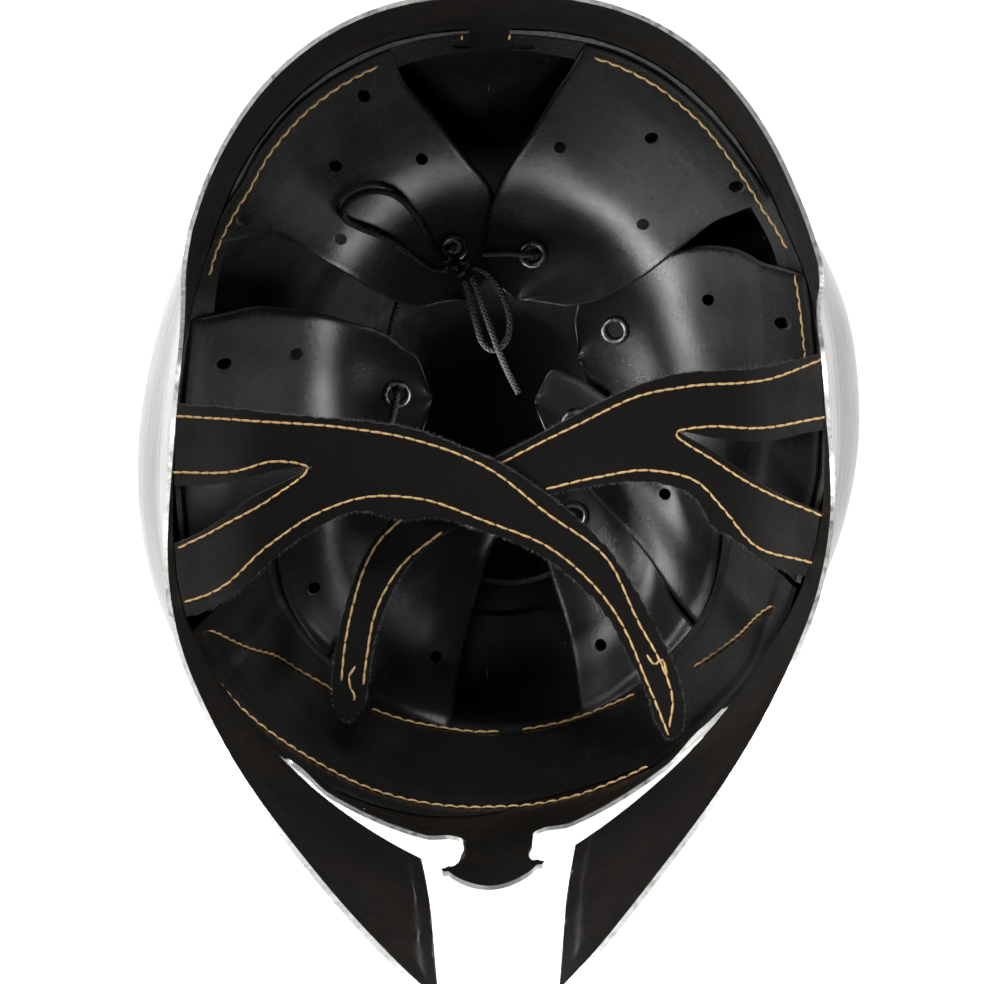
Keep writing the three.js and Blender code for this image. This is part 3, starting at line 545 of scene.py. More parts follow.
# Degrees and how much further out the sewn edge lies there, pressed against the steel.
LINING_SLACK = np.array([
    (-180, 0), (-150, 2), (-125, 5.5), (-112, 5.5), (-100, 5.5), (-88, 4.6), (-76, 3), (-64, 2), (-52, 1.8),
    (-44, 1.8), (-38, 3.4), (-30, 4.2), (-24, 4), (-16, 2.9), (-8, 1.4), (0, 0.6), (8, 1.4), (16, 2.9),
    (24, 4),
    (32, 3.8), (40, 3), (48, 2.6), (56, 4), (66, 4.5), (74, 4.8), (84, 6), (96, 6.4), (108, 4.5), (120, 1.5),
    (128, 0), (180, 0),
])
PETAL_STEP = 3.4
PETAL_LENGTH = 95.0
SEAM_PRESS = 2.6  # over this length the seam presses a petal flat
HOLE = 1.9
EYELET_BORE = 2.6
EYELET_BARREL = 3.2
EYELET_HOLE = 3.3
# Name: sewn middle and tip in degrees, reach and top share of the eyelet's line, lapping step, holes seen
# from above.
PETALS = {
    "nape_left": (-37, -11, 0.22, 0.975, 1, [(-39, 117), (-50, 94.5), (-24, 95.5), (-50, 70), (-74, 81)]),
    "nape_right": (36.5, 8, 0.2, 0.975, 0, [(19.5, 99.5), (46, 104), (46, 75), (69, 91)]),
    "ear_right": (87.5, 53, 0.22, 0.965, 2, [(67, 51), (84, 50)]),
    "brow_right_outer": (129.5, 100, 0.12, 0.722, 0, [(54, -12.5), (73, -30)]),
    "brow_right_inner": (153.5, 145, 0.2, 0.722, 1, [(33.5, -62)]),
    "brow_left_inner": (-159.5, -170, 0.125, 0.722, 0, [(-20, -66)]),
    "brow_left_outer": (-133, -125, 0.25, 0.722, 1, [(-36, -46), (-59, -42)]),
    "ear_left": (-95, -84, 0.15, 0.965, 0, [(-64, 34), (-82, 37)]),
}
# Outline of each petal: share of the lining's depth, degrees of its first edge and of its second edge.
OUTLINES = {
    "nape_left": [
        (0.998, -55, -15), (0.86, -51, -14.7), (0.68, -50.3, -11.7), (0.54, -50, -6.7), (0.46, -49, -1.7),
        (0.39, -47.7, 1), (0.33, -45.3, 1), (0.27, -38, -1), (0.235, -28, -6), (0.222, -24, -10),
    ],
    "nape_right": [
        (0.998, 12, 47), (0.83, 10.3, 47), (0.64, 6.7, 48.5), (0.47, -0.3, 48.5), (0.4, -3, 47),
        (0.32, -4.3, 43),
        (0.25, -3.7, 32), (0.222, 1, 23), (0.212, 4, 19),
    ],
    "ear_right": [
        (0.998, 61, 114), (0.86, 56.3, 113), (0.7, 53, 111), (0.53, 47.3, 108), (0.37, 41, 103),
        (0.28, 40.3, 92),
        (0.24, 46, 80), (0.224, 56, 70),
    ],
    "brow_right_outer": [
        (0.722, 115, 137.3), (0.6, 111, 137.2), (0.5, 106, 136), (0.38, 97, 135), (0.28, 84, 134),
        (0.2, 70, 132),
        (0.14, 60, 128), (0.1, 70, 115),
    ],
    "brow_right_inner": [
        (0.722, 138, 165), (0.6, 137.6, 164), (0.45, 131, 163), (0.34, 126, 163), (0.26, 124, 162),
        (0.2, 132, 156),
    ],
    "brow_left_inner": [
        (0.722, -171.6, -146), (0.6, -171.8, -146), (0.5, -172, -146), (0.38, -173.7, -146),
        (0.28, -177, -148),
        (0.2, -184, -150), (0.14, -184, -158), (0.12, -178, -165),
    ],
    "brow_left_outer": [
        (0.722, -145.6, -119.5), (0.55, -147, -108), (0.42, -151, -100), (0.33, -150, -96),
        (0.25, -144, -104),
        (0.225, -132, -118),
    ],
    "ear_left": [
        (0.998, -118, -67.7), (0.79, -118, -65.3), (0.63, -118, -64), (0.45, -119, -61.3), (0.28, -120, -60),
        (0.2, -112, -67), (0.176, -100, -78),
    ],
}


def lining(deg, share, lift=0.0):
    """Points of the lining's bowl, share 1 at the sewn edge and 0 at the floor, moved inwards by the lift.
    The radius is the edge's times the sine of the share's quarter turn, leaning in towards the floor, and
    the height rises from the floor by one less its cosine, raised to the bowl's power."""
    deg, share, lift = (v.astype(float) for v in np.broadcast_arrays(deg, share, lift))
    turned = (deg + 540) % 360 - 180
    mirror = np.array((-1, 1, 1, 1))
    beyond = LINING_EDGE[-2:-3:-1] * mirror + (360, 0, 0, 0)
    table = np.concatenate([LINING_EDGE[1:0:-1] * mirror, LINING_EDGE, beyond])
    edge_r = eased(table[:, 0], table[:, 1], np.abs(turned))
    deep = eased(table[:, 0], table[:, 2], np.abs(turned)) - LINING_FLOOR
    lean = eased(table[:, 0], table[:, 3], np.abs(turned))
    t = share * np.pi / 2
    rise = np.maximum(1 - np.cos(t), 0) ** LINING_BOWL
    r = edge_r * np.sin(t) * (1 - lean * (1 - rise))
    near_wall = smoothstep(share, 0.88, 1)
    r = r + near_wall * np.interp(turned, LINING_SLACK[:, 0], LINING_SLACK[:, 1])
    climb = deep * LINING_BOWL * np.maximum(1 - np.cos(t), 1e-9) ** (LINING_BOWL - 1) * np.sin(t)
    slope = np.arctan2(climb, edge_r * np.cos(t))
    a = np.radians(turned)
    reach = r - lift * np.sin(slope)
    height = LINING_FLOOR + deep * rise + lift * np.cos(slope)
    return np.stack([reach * np.sin(a), LINING_AXIS_Y + reach * np.cos(a), height], -1)


def slab(name, upper, under, materials, sharp=40, sewn=False):
    """A closed sheet between two grids of points; its border faces take the second material, but for
    those of the first row where that edge is sewn down."""
    rows, cols = upper.shape[:2]
    n = rows * cols
    ring = np.r_[
        np.arange(cols), np.arange(2, rows) * cols - 1,
        np.arange(n - 1, n - cols - 1, -1), np.arange(rows - 2, 0, -1) * cols]
    nxt = np.roll(ring, -1)
    border = np.stack([ring, nxt, nxt + n, ring + n], 1)
    sheet = grid_faces(rows, cols, 0, False)
    faces = np.concatenate([sheet, sheet[:, ::-1] + n, border])
    groups = [0] * (2 * len(sheet)) + [0 if sewn else 1] * (cols - 1) + [1] * (len(border) - cols + 1)
    points = np.concatenate([upper.reshape(-1, 3), under.reshape(-1, 3)])
    return new_mesh(name, points, faces.tolist(), groups=groups, materials=materials, sharp=sharp)


def shoulder(distance, depth=0.45, wide=1.3):
    """How far a leather face drops near its cut edge: a quarter round over the width."""
    near = np.clip(1 - distance / wide, 0, 1)
    return depth * near**2


# Finish of the petals: smooth drum dyed leather, pebbled, with soft creases and a low sheen.
hide, tree, shader = finish_tree("smooth_leather")
cells = texture(tree, "ShaderNodeTexVoronoi", place_of(tree), Scale=1250, feature="DISTANCE_TO_EDGE")
grain = cells.outputs["Distance"]
pore = noise(tree, 2600, 3)
crease = noise(tree, 55, 6, Roughness=0.6)
feed(tree, shader, "Base Color", crease, [(0.3, (0.009, 0.0085, 0.0083)), (0.75, (0.0165, 0.0157, 0.0155))])
feed(tree, shader, "Roughness", crease, [(0.25, (0.22,)), (0.75, (0.31,))])
bumped(tree, shader, [(grain, 0.0003, 0.22), (pore, 0.0002, 0.15), (crease, 0.0006, 0.2)])

# Finish of cut leather: matt fibres, a shade lighter than the grain side.
raw_edge, tree, shader = finish_tree("cut_leather")
fibre = noise(tree, 1400, 4)
feed(tree, shader, "Base Color", fibre, [(0.3, (0.04, 0.038, 0.036)), (0.7, (0.13, 0.125, 0.118))])
shader.inputs["Roughness"].default_value = 0.85
bumped(tree, shader, [(fibre, 0.0003, 0.5)])


def petal_point(name, t, w, lift):
    """A point of a petal: t runs from the sewn edge to the tip, w from edge to edge. The degrees of the
    two edges follow the outline's table, and over the last of the reach they close in a round."""
    table = np.array(OUTLINES[name])[::-1]
    top, end = table[-1, 0], table[0, 0]
    share = top + (end - top) * t
    first, second = eased(table[:, 0], table[:, 1], share), eased(table[:, 0], table[:, 2], share)
    mid, half = (first + second) / 2, (second - first) / 2
    close = np.clip((end + 0.06 - share) / 0.0602, 0, 1)
    half = half * np.sqrt(1 - close**2)
    base = lining(mid, share)
    width = np.radians(half) * np.hypot(base[..., 0], base[..., 1] - LINING_AXIS_Y)
    drop = PETALS[name][4] * PETAL_STEP * smoothstep(t, 0.1, 0.45)
    return lining(mid + half * w, share, lift - drop), width


def eyelet_point(name, lift):
    """Where the middle of a petal's eyelet lies, at a lift over the lining."""
    mid, tip, reach, top, step, _ = PETALS[name]
    return lining(mid + (tip - mid) * 0.84**1.2, top + (reach - top) * 0.84, lift - step * PETAL_STEP)


def tube(points, radius, sides):
    """Rings of a tube along a line, each turned from the one before without twist."""
    p = np.array(points, float)
    ahead = unit(np.gradient(p, axis=0))
    side = np.zeros_like(p)
    side[0] = unit(np.cross(ahead[0], (0.3, 0.2, 0.9)))
    for j in range(1, len(p)):
        side[j] = unit(side[j - 1] - ahead[j] * np.dot(side[j - 1], ahead[j]))
    other = np.cross(ahead, side)
    a = np.arange(sides) * 2 * np.pi / sides
    round_it = np.cos(a)[None, :, None] * side[:, None] + np.sin(a)[None, :, None] * other[:, None]
    return p[:, None] + radius * round_it


def set_weave(item, turn, along):
    """Keeps where each point lies around and along a cord, for the weave of its finish."""
    weave = item.data.attributes.new("weave", "FLOAT_VECTOR", "POINT")
    values = np.stack([np.cos(turn), np.sin(turn), along], 1)
    weave.data.foreach_set("vector", values.astype(np.float32).ravel())


def tube_object(name, points, radius, sides, materials):
    """A closed tube along a line in millimetres, with coordinates around and along it for its weave."""
    rings = tube(points, radius, sides)
    n = len(points)
    faces = grid_faces(n, sides, 0, True).tolist()
    faces += [list(range(sides))[::-1], list(range((n - 1) * sides, n * sides))]
    item = new_mesh(name, rings.reshape(-1, 3), faces, materials=materials, sharp=50)
    along = np.r_[0, np.cumsum(np.linalg.norm(np.diff(np.array(points), axis=0), axis=1))]
    around = np.tile(np.arange(sides) / sides, n)
    set_weave(item, around * 2 * np.pi, np.repeat(along, sides))
    return item


def axis_turn(axis):
    """The rotation that brings Z to the axis, as a matrix."""
    return np.array(Vector((0, 0, 1)).rotation_difference(Vector(axis)).to_matrix())


eyelet_axis = {}
for name, row in PETALS.items():
    t = np.r_[np.linspace(0, 0.03, 4), np.linspace(0.05, 0.9, 56), np.linspace(0.91, 0.99, 14), 0.995, 0.999]
    w = np.r_[-1, -0.985, -0.96, -0.92, np.linspace(-0.87, 0.87, 34), 0.92, 0.96, 0.985, 1]
    tt, ww = np.meshgrid(t, w, indexing="ij")
    _, half = petal_point(name, tt, ww, 0.0)
    near = (1 - np.abs(ww)) * half
    ripple = 0.28 * np.sin(tt * 9 + ww * 2.2 + row[0]) + 0.22 * np.sin(ww * 5.5 + tt * 4 + row[1])
    curl = 0.8 * np.abs(ww) ** 4 * smoothstep(tt, 0.25, 0.6)
    pressed = np.exp(-((tt * PETAL_LENGTH / SEAM_PRESS) ** 2))
    over_mm = GAP + (LEATHER + ripple + curl) * (1 - 0.8 * pressed) - shoulder(near)
    under_mm = GAP + (ripple + curl) * (1 - pressed) - 0.3 * pressed + shoulder(near, 0.25)
    upper, _ = petal_point(name, tt, ww, over_mm)
    under, _ = petal_point(name, tt, ww, under_mm)
    petal = slab("petal_" + name + "_leather", upper, under, (hide, raw_edge), sewn=True)
    centre = eyelet_point(name, GAP + LEATHER / 2)
    over = eyelet_point(name, GAP + LEATHER / 2 + 5)
    axis = unit(over - centre)
    eyelet_axis[name] = (centre, axis)
    circle = np.arange(24) * np.pi / 12
    bore = np.stack([np.cos(circle), np.sin(circle)], 1) * EYELET_HOLE
    turning = axis_turn(axis)
    drill = prism("bore", bore, -8, 8, (0, 1, 2), 1, 2)
    q = np.array([v.co for v in drill.data.vertices]) @ turning.T + centre
    set_points(drill.data, q)
    carve(petal, drill, "DIFFERENCE")
    for hx, hy in row[5]:
        ring = np.stack([hx + HOLE * np.cos(circle), hy + HOLE * np.sin(circle) - MIDDLE_Y], 1) * MM
        carve(petal, prism("punch", ring, 0.02, 0.3, (0, 1, 2), 1, 2), "DIFFERENCE")
    fit_inside(petal)
    outward(petal, 40)
    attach(petal, "root")
    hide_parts("petal_" + name)

# Eyelets: blackened metal rings set in the petals' tips, rolled over on both faces.
black_metal, tree, shader = finish_tree("blackened_metal")
shader.inputs["Metallic"].default_value = 1
wear = noise(tree, 700, 4)
feed(tree, shader, "Base Color", wear, [(0.35, (0.10, 0.098, 0.095)), (0.7, (0.34, 0.335, 0.33))])
feed(tree, shader, "Roughness", wear, [(0.3, (0.22,)), (0.7, (0.42,))])
bumped(tree, shader, [(wear, 0.0002, 0.2)])
for name, (centre, axis) in eyelet_axis.items():
    half = LEATHER / 2 + GAP
    a = np.linspace(0, np.pi, 9)
    flange = np.stack([3.65 - 1.05 * np.cos(a), half + 0.95 * np.sin(a)], 1)
    barrel = [(EYELET_BARREL, -half), (EYELET_BARREL, half)]
    profile = np.concatenate([flange[::-1], [(EYELET_BORE, 0)], flange * (1, -1), barrel])
    s = np.arange(36) * np.pi / 18
    ring = np.stack([
        profile[:, None, 0] * np.cos(s), profile[:, None, 0] * np.sin(s), profile[:, None, 1] + 0 * s], -1)
    ring = ring @ axis_turn(axis).T + centre
    n = len(profile)
    faces = grid_faces(n, 36, 0, True).tolist()
    k = np.arange(36)
    faces += np.stack([(n - 1) * 36 + k, (n - 1) * 36 + (k + 1) % 36, (k + 1) % 36, k], 1).tolist()
    eyelet = new_mesh("eyelet_ring_" + name, ring.reshape(-1, 3), faces, materials=(black_metal,), sharp=45)
    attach(eyelet, "root")
    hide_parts("eyelet_" + name)

# Rear bands: two strips of the same leather between the petals and the steel, sewn through them
# with an ochre thread near their upper edge.
for name, start, end in (("rear_band_left", -116, -4), ("rear_band_right", 1.5, 116)):
    deg = np.linspace(start, end, 130)
    share = np.r_[np.linspace(0.93, 0.994, 16), 0.9965, 0.9985, 1.0]
    ss, dd = np.meshgrid(share, deg, indexing="ij")
    ripple = 0.2 * np.sin(np.radians(dd) * 14) * smoothstep(ss, 0.93, 1)
    near = (1 - ss) * 350
    upper = lining(dd, ss, -GAP + ripple - shoulder(near))
    under = lining(dd, ss, -GAP - LEATHER + ripple * 0.6)
    band = slab(name + "_leather", upper, under, (hide, raw_edge))
    fit_inside(band)
    outward(band, 40)
    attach(band, "root")
    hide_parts(name)

# Brow band: a padded roll of black leather over soft filling, sewn along both edges inside the brow.
BAND_PAD = 6
BAND_OUT = 2.2  # how far the pad leans out towards the steel
BROW = {"from": 117, "to": 237, "low": 0.725, "high": 0.998}


def band_lean(across, along):
    """How far the high edge leans out to the steel: nothing on the right, 3 mm from the middle leftwards."""
    return 3 * across * smoothstep(along, 0.2, 0.5)


def brow_point(across, along, lift):
    """A point of the brow band: across runs from the low edge to the high one, along from right to left.
    The lift is over the inner face of the pad, which swells as a half round between its seams."""
    puff = np.sqrt(np.maximum(0, 1 - (2 * across - 1) ** 2)) * np.minimum(1, np.sin(along * np.pi) * 4)
    crease = 0.25 * np.sin(along * 61 + 3 * np.sin(along * 13)) * puff * (1 - np.abs(2 * across - 1))
    seam = 0.7 * (np.exp(-((across - 0.11) / 0.03) ** 2) + np.exp(-((across - 0.86) / 0.03) ** 2))
    deg = BROW["from"] + (BROW["to"] - BROW["from"]) * along
    low = BROW["low"] - 0.045 * np.sin(along * np.pi) ** 2
    share = low + (BROW["high"] - low) * across
    lift = lift - band_lean(across, along)
    over_mm = LEATHER - BAND_OUT + BAND_PAD / 2 * puff + crease - seam + lift
    return lining(deg, share, over_mm), puff, deg, share


across, along = np.meshgrid(np.linspace(0, 1, 56), np.linspace(0, 1, 190), indexing="ij")
upper, puff, deg, share = brow_point(across, along, 0.0)
under = lining(deg, share, 0.4 - BAND_OUT - 1.6 * np.minimum(1, puff * 2) - band_lean(across, along))
brow_band = slab("brow_band_pad", upper, under, (hide, hide))
fit_inside(brow_band)
outward(brow_band, 40)
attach(brow_band, "root")
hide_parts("brow_band")

# Straps: two forked straps of black suede that cross over the lining, each with its fork held at
# one side of the steel and a bare curled tip on the other side.
# Outline seen from above, from the fixed prongs round the tip and back, then the notch of the fork.
STRAPS = {
    "strap_left": {
        "edge": [
            (-96, 31), (-80, 28), (-66, 24.8), (-52, 22.2), (-38, 20), (-24, 16.6), (-12, 11.6), (0, 6.2),
            (12, -1.6), (24, -11), (34, -21), (42, -33), (49, -46), (54, -57), (56, -66), (55.4, -74),
            (52, -77),
            (48.6, -73), (45.6, -64), (40, -53), (32, -39), (22, -28.6), (10, -20.4), (-4, -14.6), (-18, -10),
            (-30, -9.8), (-42, -6.4), (-54, -10.6), (-66, -18), (-76, -26.4), (-84, -30.6), (-98, -31),
        ],
        "fork": [
            (-100, 9), (-88, 6.4), (-76, 6.2), (-64, 8), (-55, 7.8), (-62, 4.6), (-72, 0.6), (-82, -5.6),
            (-90, -9), (-100, -11),
        ],
        "low": 125, "low_at": 18, "rise": 66, "end": -92, "drop": -12,
        "fold": ((-86, -6), (-76, -22), 1.5, 2.6),
    },
    "strap_right": {
        "edge": [
            (98, 47), (88, 43), (76, 38.6), (64, 36.6), (54, 35), (42, 30.6), (30, 24.4), (18, 17.4),
            (6, 10.4),
            (-6, 4), (-18, -1.6), (-28, -8), (-36, -16), (-42, -26), (-46.4, -38), (-49, -50), (-50.4, -60),
            (-50, -69), (-46, -74), (-41.6, -70), (-39.8, -62), (-38.4, -52), (-34, -38), (-28, -27),
            (-20, -18.6),
            (-8, -12), (4, -7.4), (16, -3.6), (28, -0.6), (40, 1.6), (50, 1.6), (58, -1), (64, -9.8),
            (70, -12.6),
            (77, -17.4), (86, -20), (98, -20),
        ],
        "fork": [
            (100, 25), (90, 22), (78, 17.6), (66, 16.6), (54, 17.6), (63, 13), (72, 7.4), (82, 2.4),
            (91, -0.6),
            (100, -3),
        ],
        "low": 117.2, "low_at": -20, "rise": 71, "end": 92, "drop": -7,
        "fold": ((84, 8), (77, -18), 1.3, 6.5),
    },
}


def strap_height(s, x, y):
    """Height of a strap's underside: lowest near the middle, rising to its fixed end and its tip."""
    d = (x - s["low_at"]) / (s["end"] - s["low_at"])
    rise = np.where(d > 0, s["rise"] * np.abs(d) ** 2.2, 0)
    drop = np.where(d < 0, s["drop"] * smoothstep(-d, 0, 0.42), 0)
    return s["low"] + rise - drop * smoothstep(-y, 0, 70)


def fold(s, x, y):
    """Height of the fold across a strap's lower prong: a bell over the distance from the fold's line."""
    (ax, ay), (bx, by), high, wide = s["fold"]
    dx, dy = bx - ax, by - ay
    t = np.clip(((x - ax) * dx + (y - ay) * dy) / (dx * dx + dy * dy), 0, 1)
    return high * np.exp(-((x - ax - t * dx) ** 2 + (y - ay - t * dy) ** 2) / wide**2)


def strap_under(s, x, y):
    """Height of a strap's underside with its slight ripples and the fold across its lower prong."""
    ripple = 0.25 * np.sin(x / 7 + y / 13) + 0.2 * np.sin(x / 17 - y / 9)
    return strap_height(s, x, y) + ripple + fold(s, x, y)


# Finish of the straps: black suede with a short nap, smooth and shiny at the fixed prongs from rubbing,
# their colour lightened there as a painted sheen.
suede, tree, shader = finish_tree("black_suede")
nap = noise(tree, 900, 6, Roughness=0.7)
patch = noise(tree, 70, 4)
rub_and_sheen = texture(tree, "ShaderNodeAttribute", attribute_name="rubbed_and_sheen").outputs["Fac"]
# Painted sheen: on the prongs the suede's colour is mixed towards a lighter grey that stands in for their
# highlight.
painted_sheen = maths(tree, "MULTIPLY", rub_and_sheen, maths(tree, "MULTIPLY", patch, 1.5))
dull = ramp(tree, nap, [(0.3, (0.0022, 0.002, 0.0018)), (0.72, (0.007, 0.0062, 0.0054))])
tree.links.new(mixed(tree, painted_sheen, dull, (0.032, 0.031, 0.03, 1)), shader.inputs["Base Color"])
shine = maths(tree, "SUBTRACT", rub_and_sheen, maths(tree, "MULTIPLY", patch, 0.25))
feed(tree, shader, "Roughness", shine, [(0, (0.92,)), (0.8, (0.3,))])
shader.inputs["Specular IOR Level"].default_value = 0.22
bumped(tree, shader, [(nap, 0.0005, 0.6), (patch, 0.0012, 0.3)])

# Finish of the straps' cut edges: frayed grey fibres.
suede_edge, tree, shader = finish_tree("cut_suede")
frayed = noise(tree, 1100, 5)
feed(tree, shader, "Base Color", frayed, [(0.3, (0.05, 0.048, 0.045)), (0.7, (0.2, 0.19, 0.18))])
shader.inputs["Roughness"].default_value = 0.9
bumped(tree, shader, [(frayed, 0.0004, 0.6)])

for name, s in STRAPS.items():
    gx, gy = np.meshgrid(np.arange(-104, 104.1, 1.3), np.arange(52, -90.1, -1.3), indexing="ij")
    height = strap_under(s, gx, gy)
    upper = np.stack([gx, gy, height + LEATHER], -1)
    under = np.stack([gx, gy, height], -1)
    strap = slab(name + "_suede", upper, under, (suede, suede_edge))
    edge_line = rounded(s["edge"], 1.6)
    fuzz = 0.18 * np.sin(np.arange(len(edge_line)) * 2.3) + 0.12 * np.sin(np.arange(len(edge_line)) * 5.1)
    edge_line = edge_line + fuzz[:, None]
    low, high = 20 * MM, 400 * MM
    carve(strap, prism("outline", (edge_line - (0, MIDDLE_Y)) * MM, low, high, (0, 1, 2), 1, 2), "INTERSECT")
    fork_line = rounded(s["fork"], 1.6)
    carve(strap, prism("fork", (fork_line - (0, MIDDLE_Y)) * MM, low, high, (0, 1, 2), 1, 2), "DIFFERENCE")
    fit_inside(strap)
    from_middle = np.abs(points_of(strap.data)[:, 0]) * 1000
    # Mask of the prongs' wear and painted sheen: it lowers their roughness and lightens their colour.
    rubbed_and_sheen = smoothstep(from_middle, 66, 88) * (1 if name == "strap_left" else 0.8)
    set_value(strap.data, "rubbed_and_sheen", rubbed_and_sheen)
    outward(strap, 40)
    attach(strap, "root")
    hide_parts(name)

# Nap of the straps: short loose fibres that stand out of their cut edges.
lint, tree, shader = finish_tree("suede_fibres")
tone = noise(tree, 300, 3)
feed(tree, shader, "Base Color", tone, [(0.3, (0.05, 0.047, 0.044)), (0.7, (0.17, 0.165, 0.155))])
shader.inputs["Roughness"].default_value = 0.9
random = np.random.default_rng(7)
for name, s in STRAPS.items():
    line = rounded(s["edge"], 0.28)
    line = line[np.abs(line[:, 0]) < 84]
    ahead = unit(np.gradient(line, axis=0))
    out = np.stack([ahead[:, 1], -ahead[:, 0]], 1) * (-1 if name == "strap_left" else 1)
    n = len(line)
    height = strap_height(s, line[:, 0], line[:, 1]) + LEATHER * random.uniform(0.1, 1, n)
    root = np.stack([line[:, 0], line[:, 1], height], 1)
    lean = out * random.uniform(0.3, 1.3, (n, 1)) + ahead * random.normal(0, 0.6, (n, 1))
    tip = root + np.stack([lean[:, 0], lean[:, 1], random.uniform(0, 0.8, n)], 1)
    a = np.arange(3) * 2 * np.pi / 3
    base = root[:, None] + 0.09 * np.stack([np.cos(a), np.sin(a), 0.6 * np.sin(a + 1)], 1)[None]
    points = np.concatenate([base, tip[:, None]], axis=1).reshape(-1, 3)
    spike = np.array([(0, 1, 3), (1, 2, 3), (2, 0, 3), (2, 1, 0)])
    faces = (spike[None] + (np.arange(n) * 4)[:, None, None]).reshape(-1, 3)
    fibres = new_mesh(name + "_fibres", points, faces.tolist(), materials=(lint,), sharp=60)
    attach(fibres, "root")

# Lace: one round braided cord drawn through the eyelets, tied in a bow at the nape petals.
LACE = 2.1
LACE_SIDES = 12
KNOT_STEPS = 90
# Degrees from the nape, share of the lining's depth, height over it; a name is a pass through that eyelet.
LACE_RING = [
    (-6, 0.318, 6.4), (0, 0.316, 6), (5, 0.318, 5.8), ("nape_right", "down"), (21, 0.335, -7.6),
    (32, 0.35, -9.4),
    (50, 0.37, -9.8), (75, 0.38, -9.8), (100, 0.38, -9.8), (125, 0.37, -9.8), (150, 0.36, -9.8),
    (175, 0.35, -9.8), (200, 0.34, -9.8), (215, 0.338, -9.8), (223, 0.338, -8.4), ("brow_left_outer", "up"),
    (243, 0.338, 4.6), (251, 0.328, 5.2), (260, 0.3, 5.4), ("ear_left", "down"), (288, 0.29, -6.4),
    (300, 0.305, -8.8), (318, 0.325, -9.8), (332, 0.338, -9.8), ("nape_left", "up"),
]
# Bow and free end: place seen from above and height over the lining.
KNOT = (-12.2, 61, 7.4)
LACE_LOOP_LEFT = [
    (-16.2, 62.6, 7), (-19.5, 66.5, 4), (-23.5, 72.5, 2), (-27.6, 79.2, 1.8), (-32.4, 83.8, 1.8),
    (-38.2, 85.6, 1.8),
    (-44, 84.6, 1.8), (-48, 81.4, 1.8), (-48.4, 77.2, 1.8), (-44.4, 74, 1.8), (-37, 70.4, 1.8), (-30, 66, 2),
    (-24, 62, 3), (-19.6, 60, 5), (-16.4, 60, 6.6),
]
LACE_LOOP_RIGHT = [
    (-8, 61, 7.4), (-4.4, 59.4, 7), (-1, 56, 6.2), (1.8, 51, 5.4), (3.6, 45.4, 5), (3.8, 40, 5),
    (1.8, 35.4, 5.2),
    (-1.8, 33.8, 5.4), (-4.8, 36.2, 5.4), (-6.4, 40.6, 5.4), (-7.8, 46, 5.2), (-9.4, 52, 5.4),
    (-10.8, 56.6, 6.4),
]
LACE_END = [
    (-8.6, 58, 9.4), (-6.2, 52.6, 8.8), (-4.4, 47, 8.2), (-2.6, 42, 8.4), (-1, 37.4, 8.6), (0.8, 32.6, 8.2),
    (2.8, 27.8, 6.4), (4.8, 23.6, 4.4), (6.8, 19.6, 4.2),
]


def on_lining(x, y, lift):
    """A point at a height over the lining, from its place seen from above."""
    deg = abs(math.degrees(math.atan2(x, y - LINING_AXIS_Y)))
    edge_r = np.interp(deg, LINING_EDGE[:, 0], LINING_EDGE[:, 1])
    edge_z = np.interp(deg, LINING_EDGE[:, 0], LINING_EDGE[:, 2])
    lean = np.interp(deg, LINING_EDGE[:, 0], LINING_EDGE[:, 3])
    rise = 0.0
    for _ in range(8):
        sine = math.hypot(x, y - LINING_AXIS_Y) / edge_r / (1 - lean * (1 - rise))
        rise = (1 - math.sqrt(1 - min(1, sine * sine))) ** LINING_BOWL
    return (x, y, LINING_FLOOR + (edge_z - LINING_FLOOR) * rise + lift)


def through(points, step):
    """A curve through the points, each piece weighted by the root of its length, with a point every step."""
    p = np.array(points, float)
    p = np.concatenate([[2 * p[0] - p[1]], p, [2 * p[-1] - p[-2]]])
    knots = np.r_[0, np.cumsum(np.sqrt(np.linalg.norm(np.diff(p, axis=0), axis=1)))]
    out = []
    for j in range(1, len(p) - 2):
        t0, t1, t2, t3 = knots[j - 1:j + 3]
        t = np.linspace(t1, t2, 12, endpoint=False)[:, None]
        a1 = (t1 - t) / (t1 - t0) * p[j - 1] + (t - t0) / (t1 - t0) * p[j]
        a2 = (t2 - t) / (t2 - t1) * p[j] + (t - t1) / (t2 - t1) * p[j + 1]
        a3 = (t3 - t) / (t3 - t2) * p[j + 1] + (t - t2) / (t3 - t2) * p[j + 2]
        b1 = (t2 - t) / (t2 - t0) * a1 + (t - t0) / (t2 - t0) * a2
        b2 = (t3 - t) / (t3 - t1) * a2 + (t - t1) / (t3 - t1) * a3
        out.append((t2 - t) / (t2 - t1) * b1 + (t - t1) / (t2 - t1) * b2)
    fine = np.concatenate(out + [p[-2:-1]])
    along = np.r_[0, np.cumsum(np.linalg.norm(np.diff(fine, axis=0), axis=1))]
    at = np.linspace(0, along[-1], int(along[-1] / step) + 2)
    return np.stack([np.interp(at, along, fine[:, k]) for k in range(3)], 1)


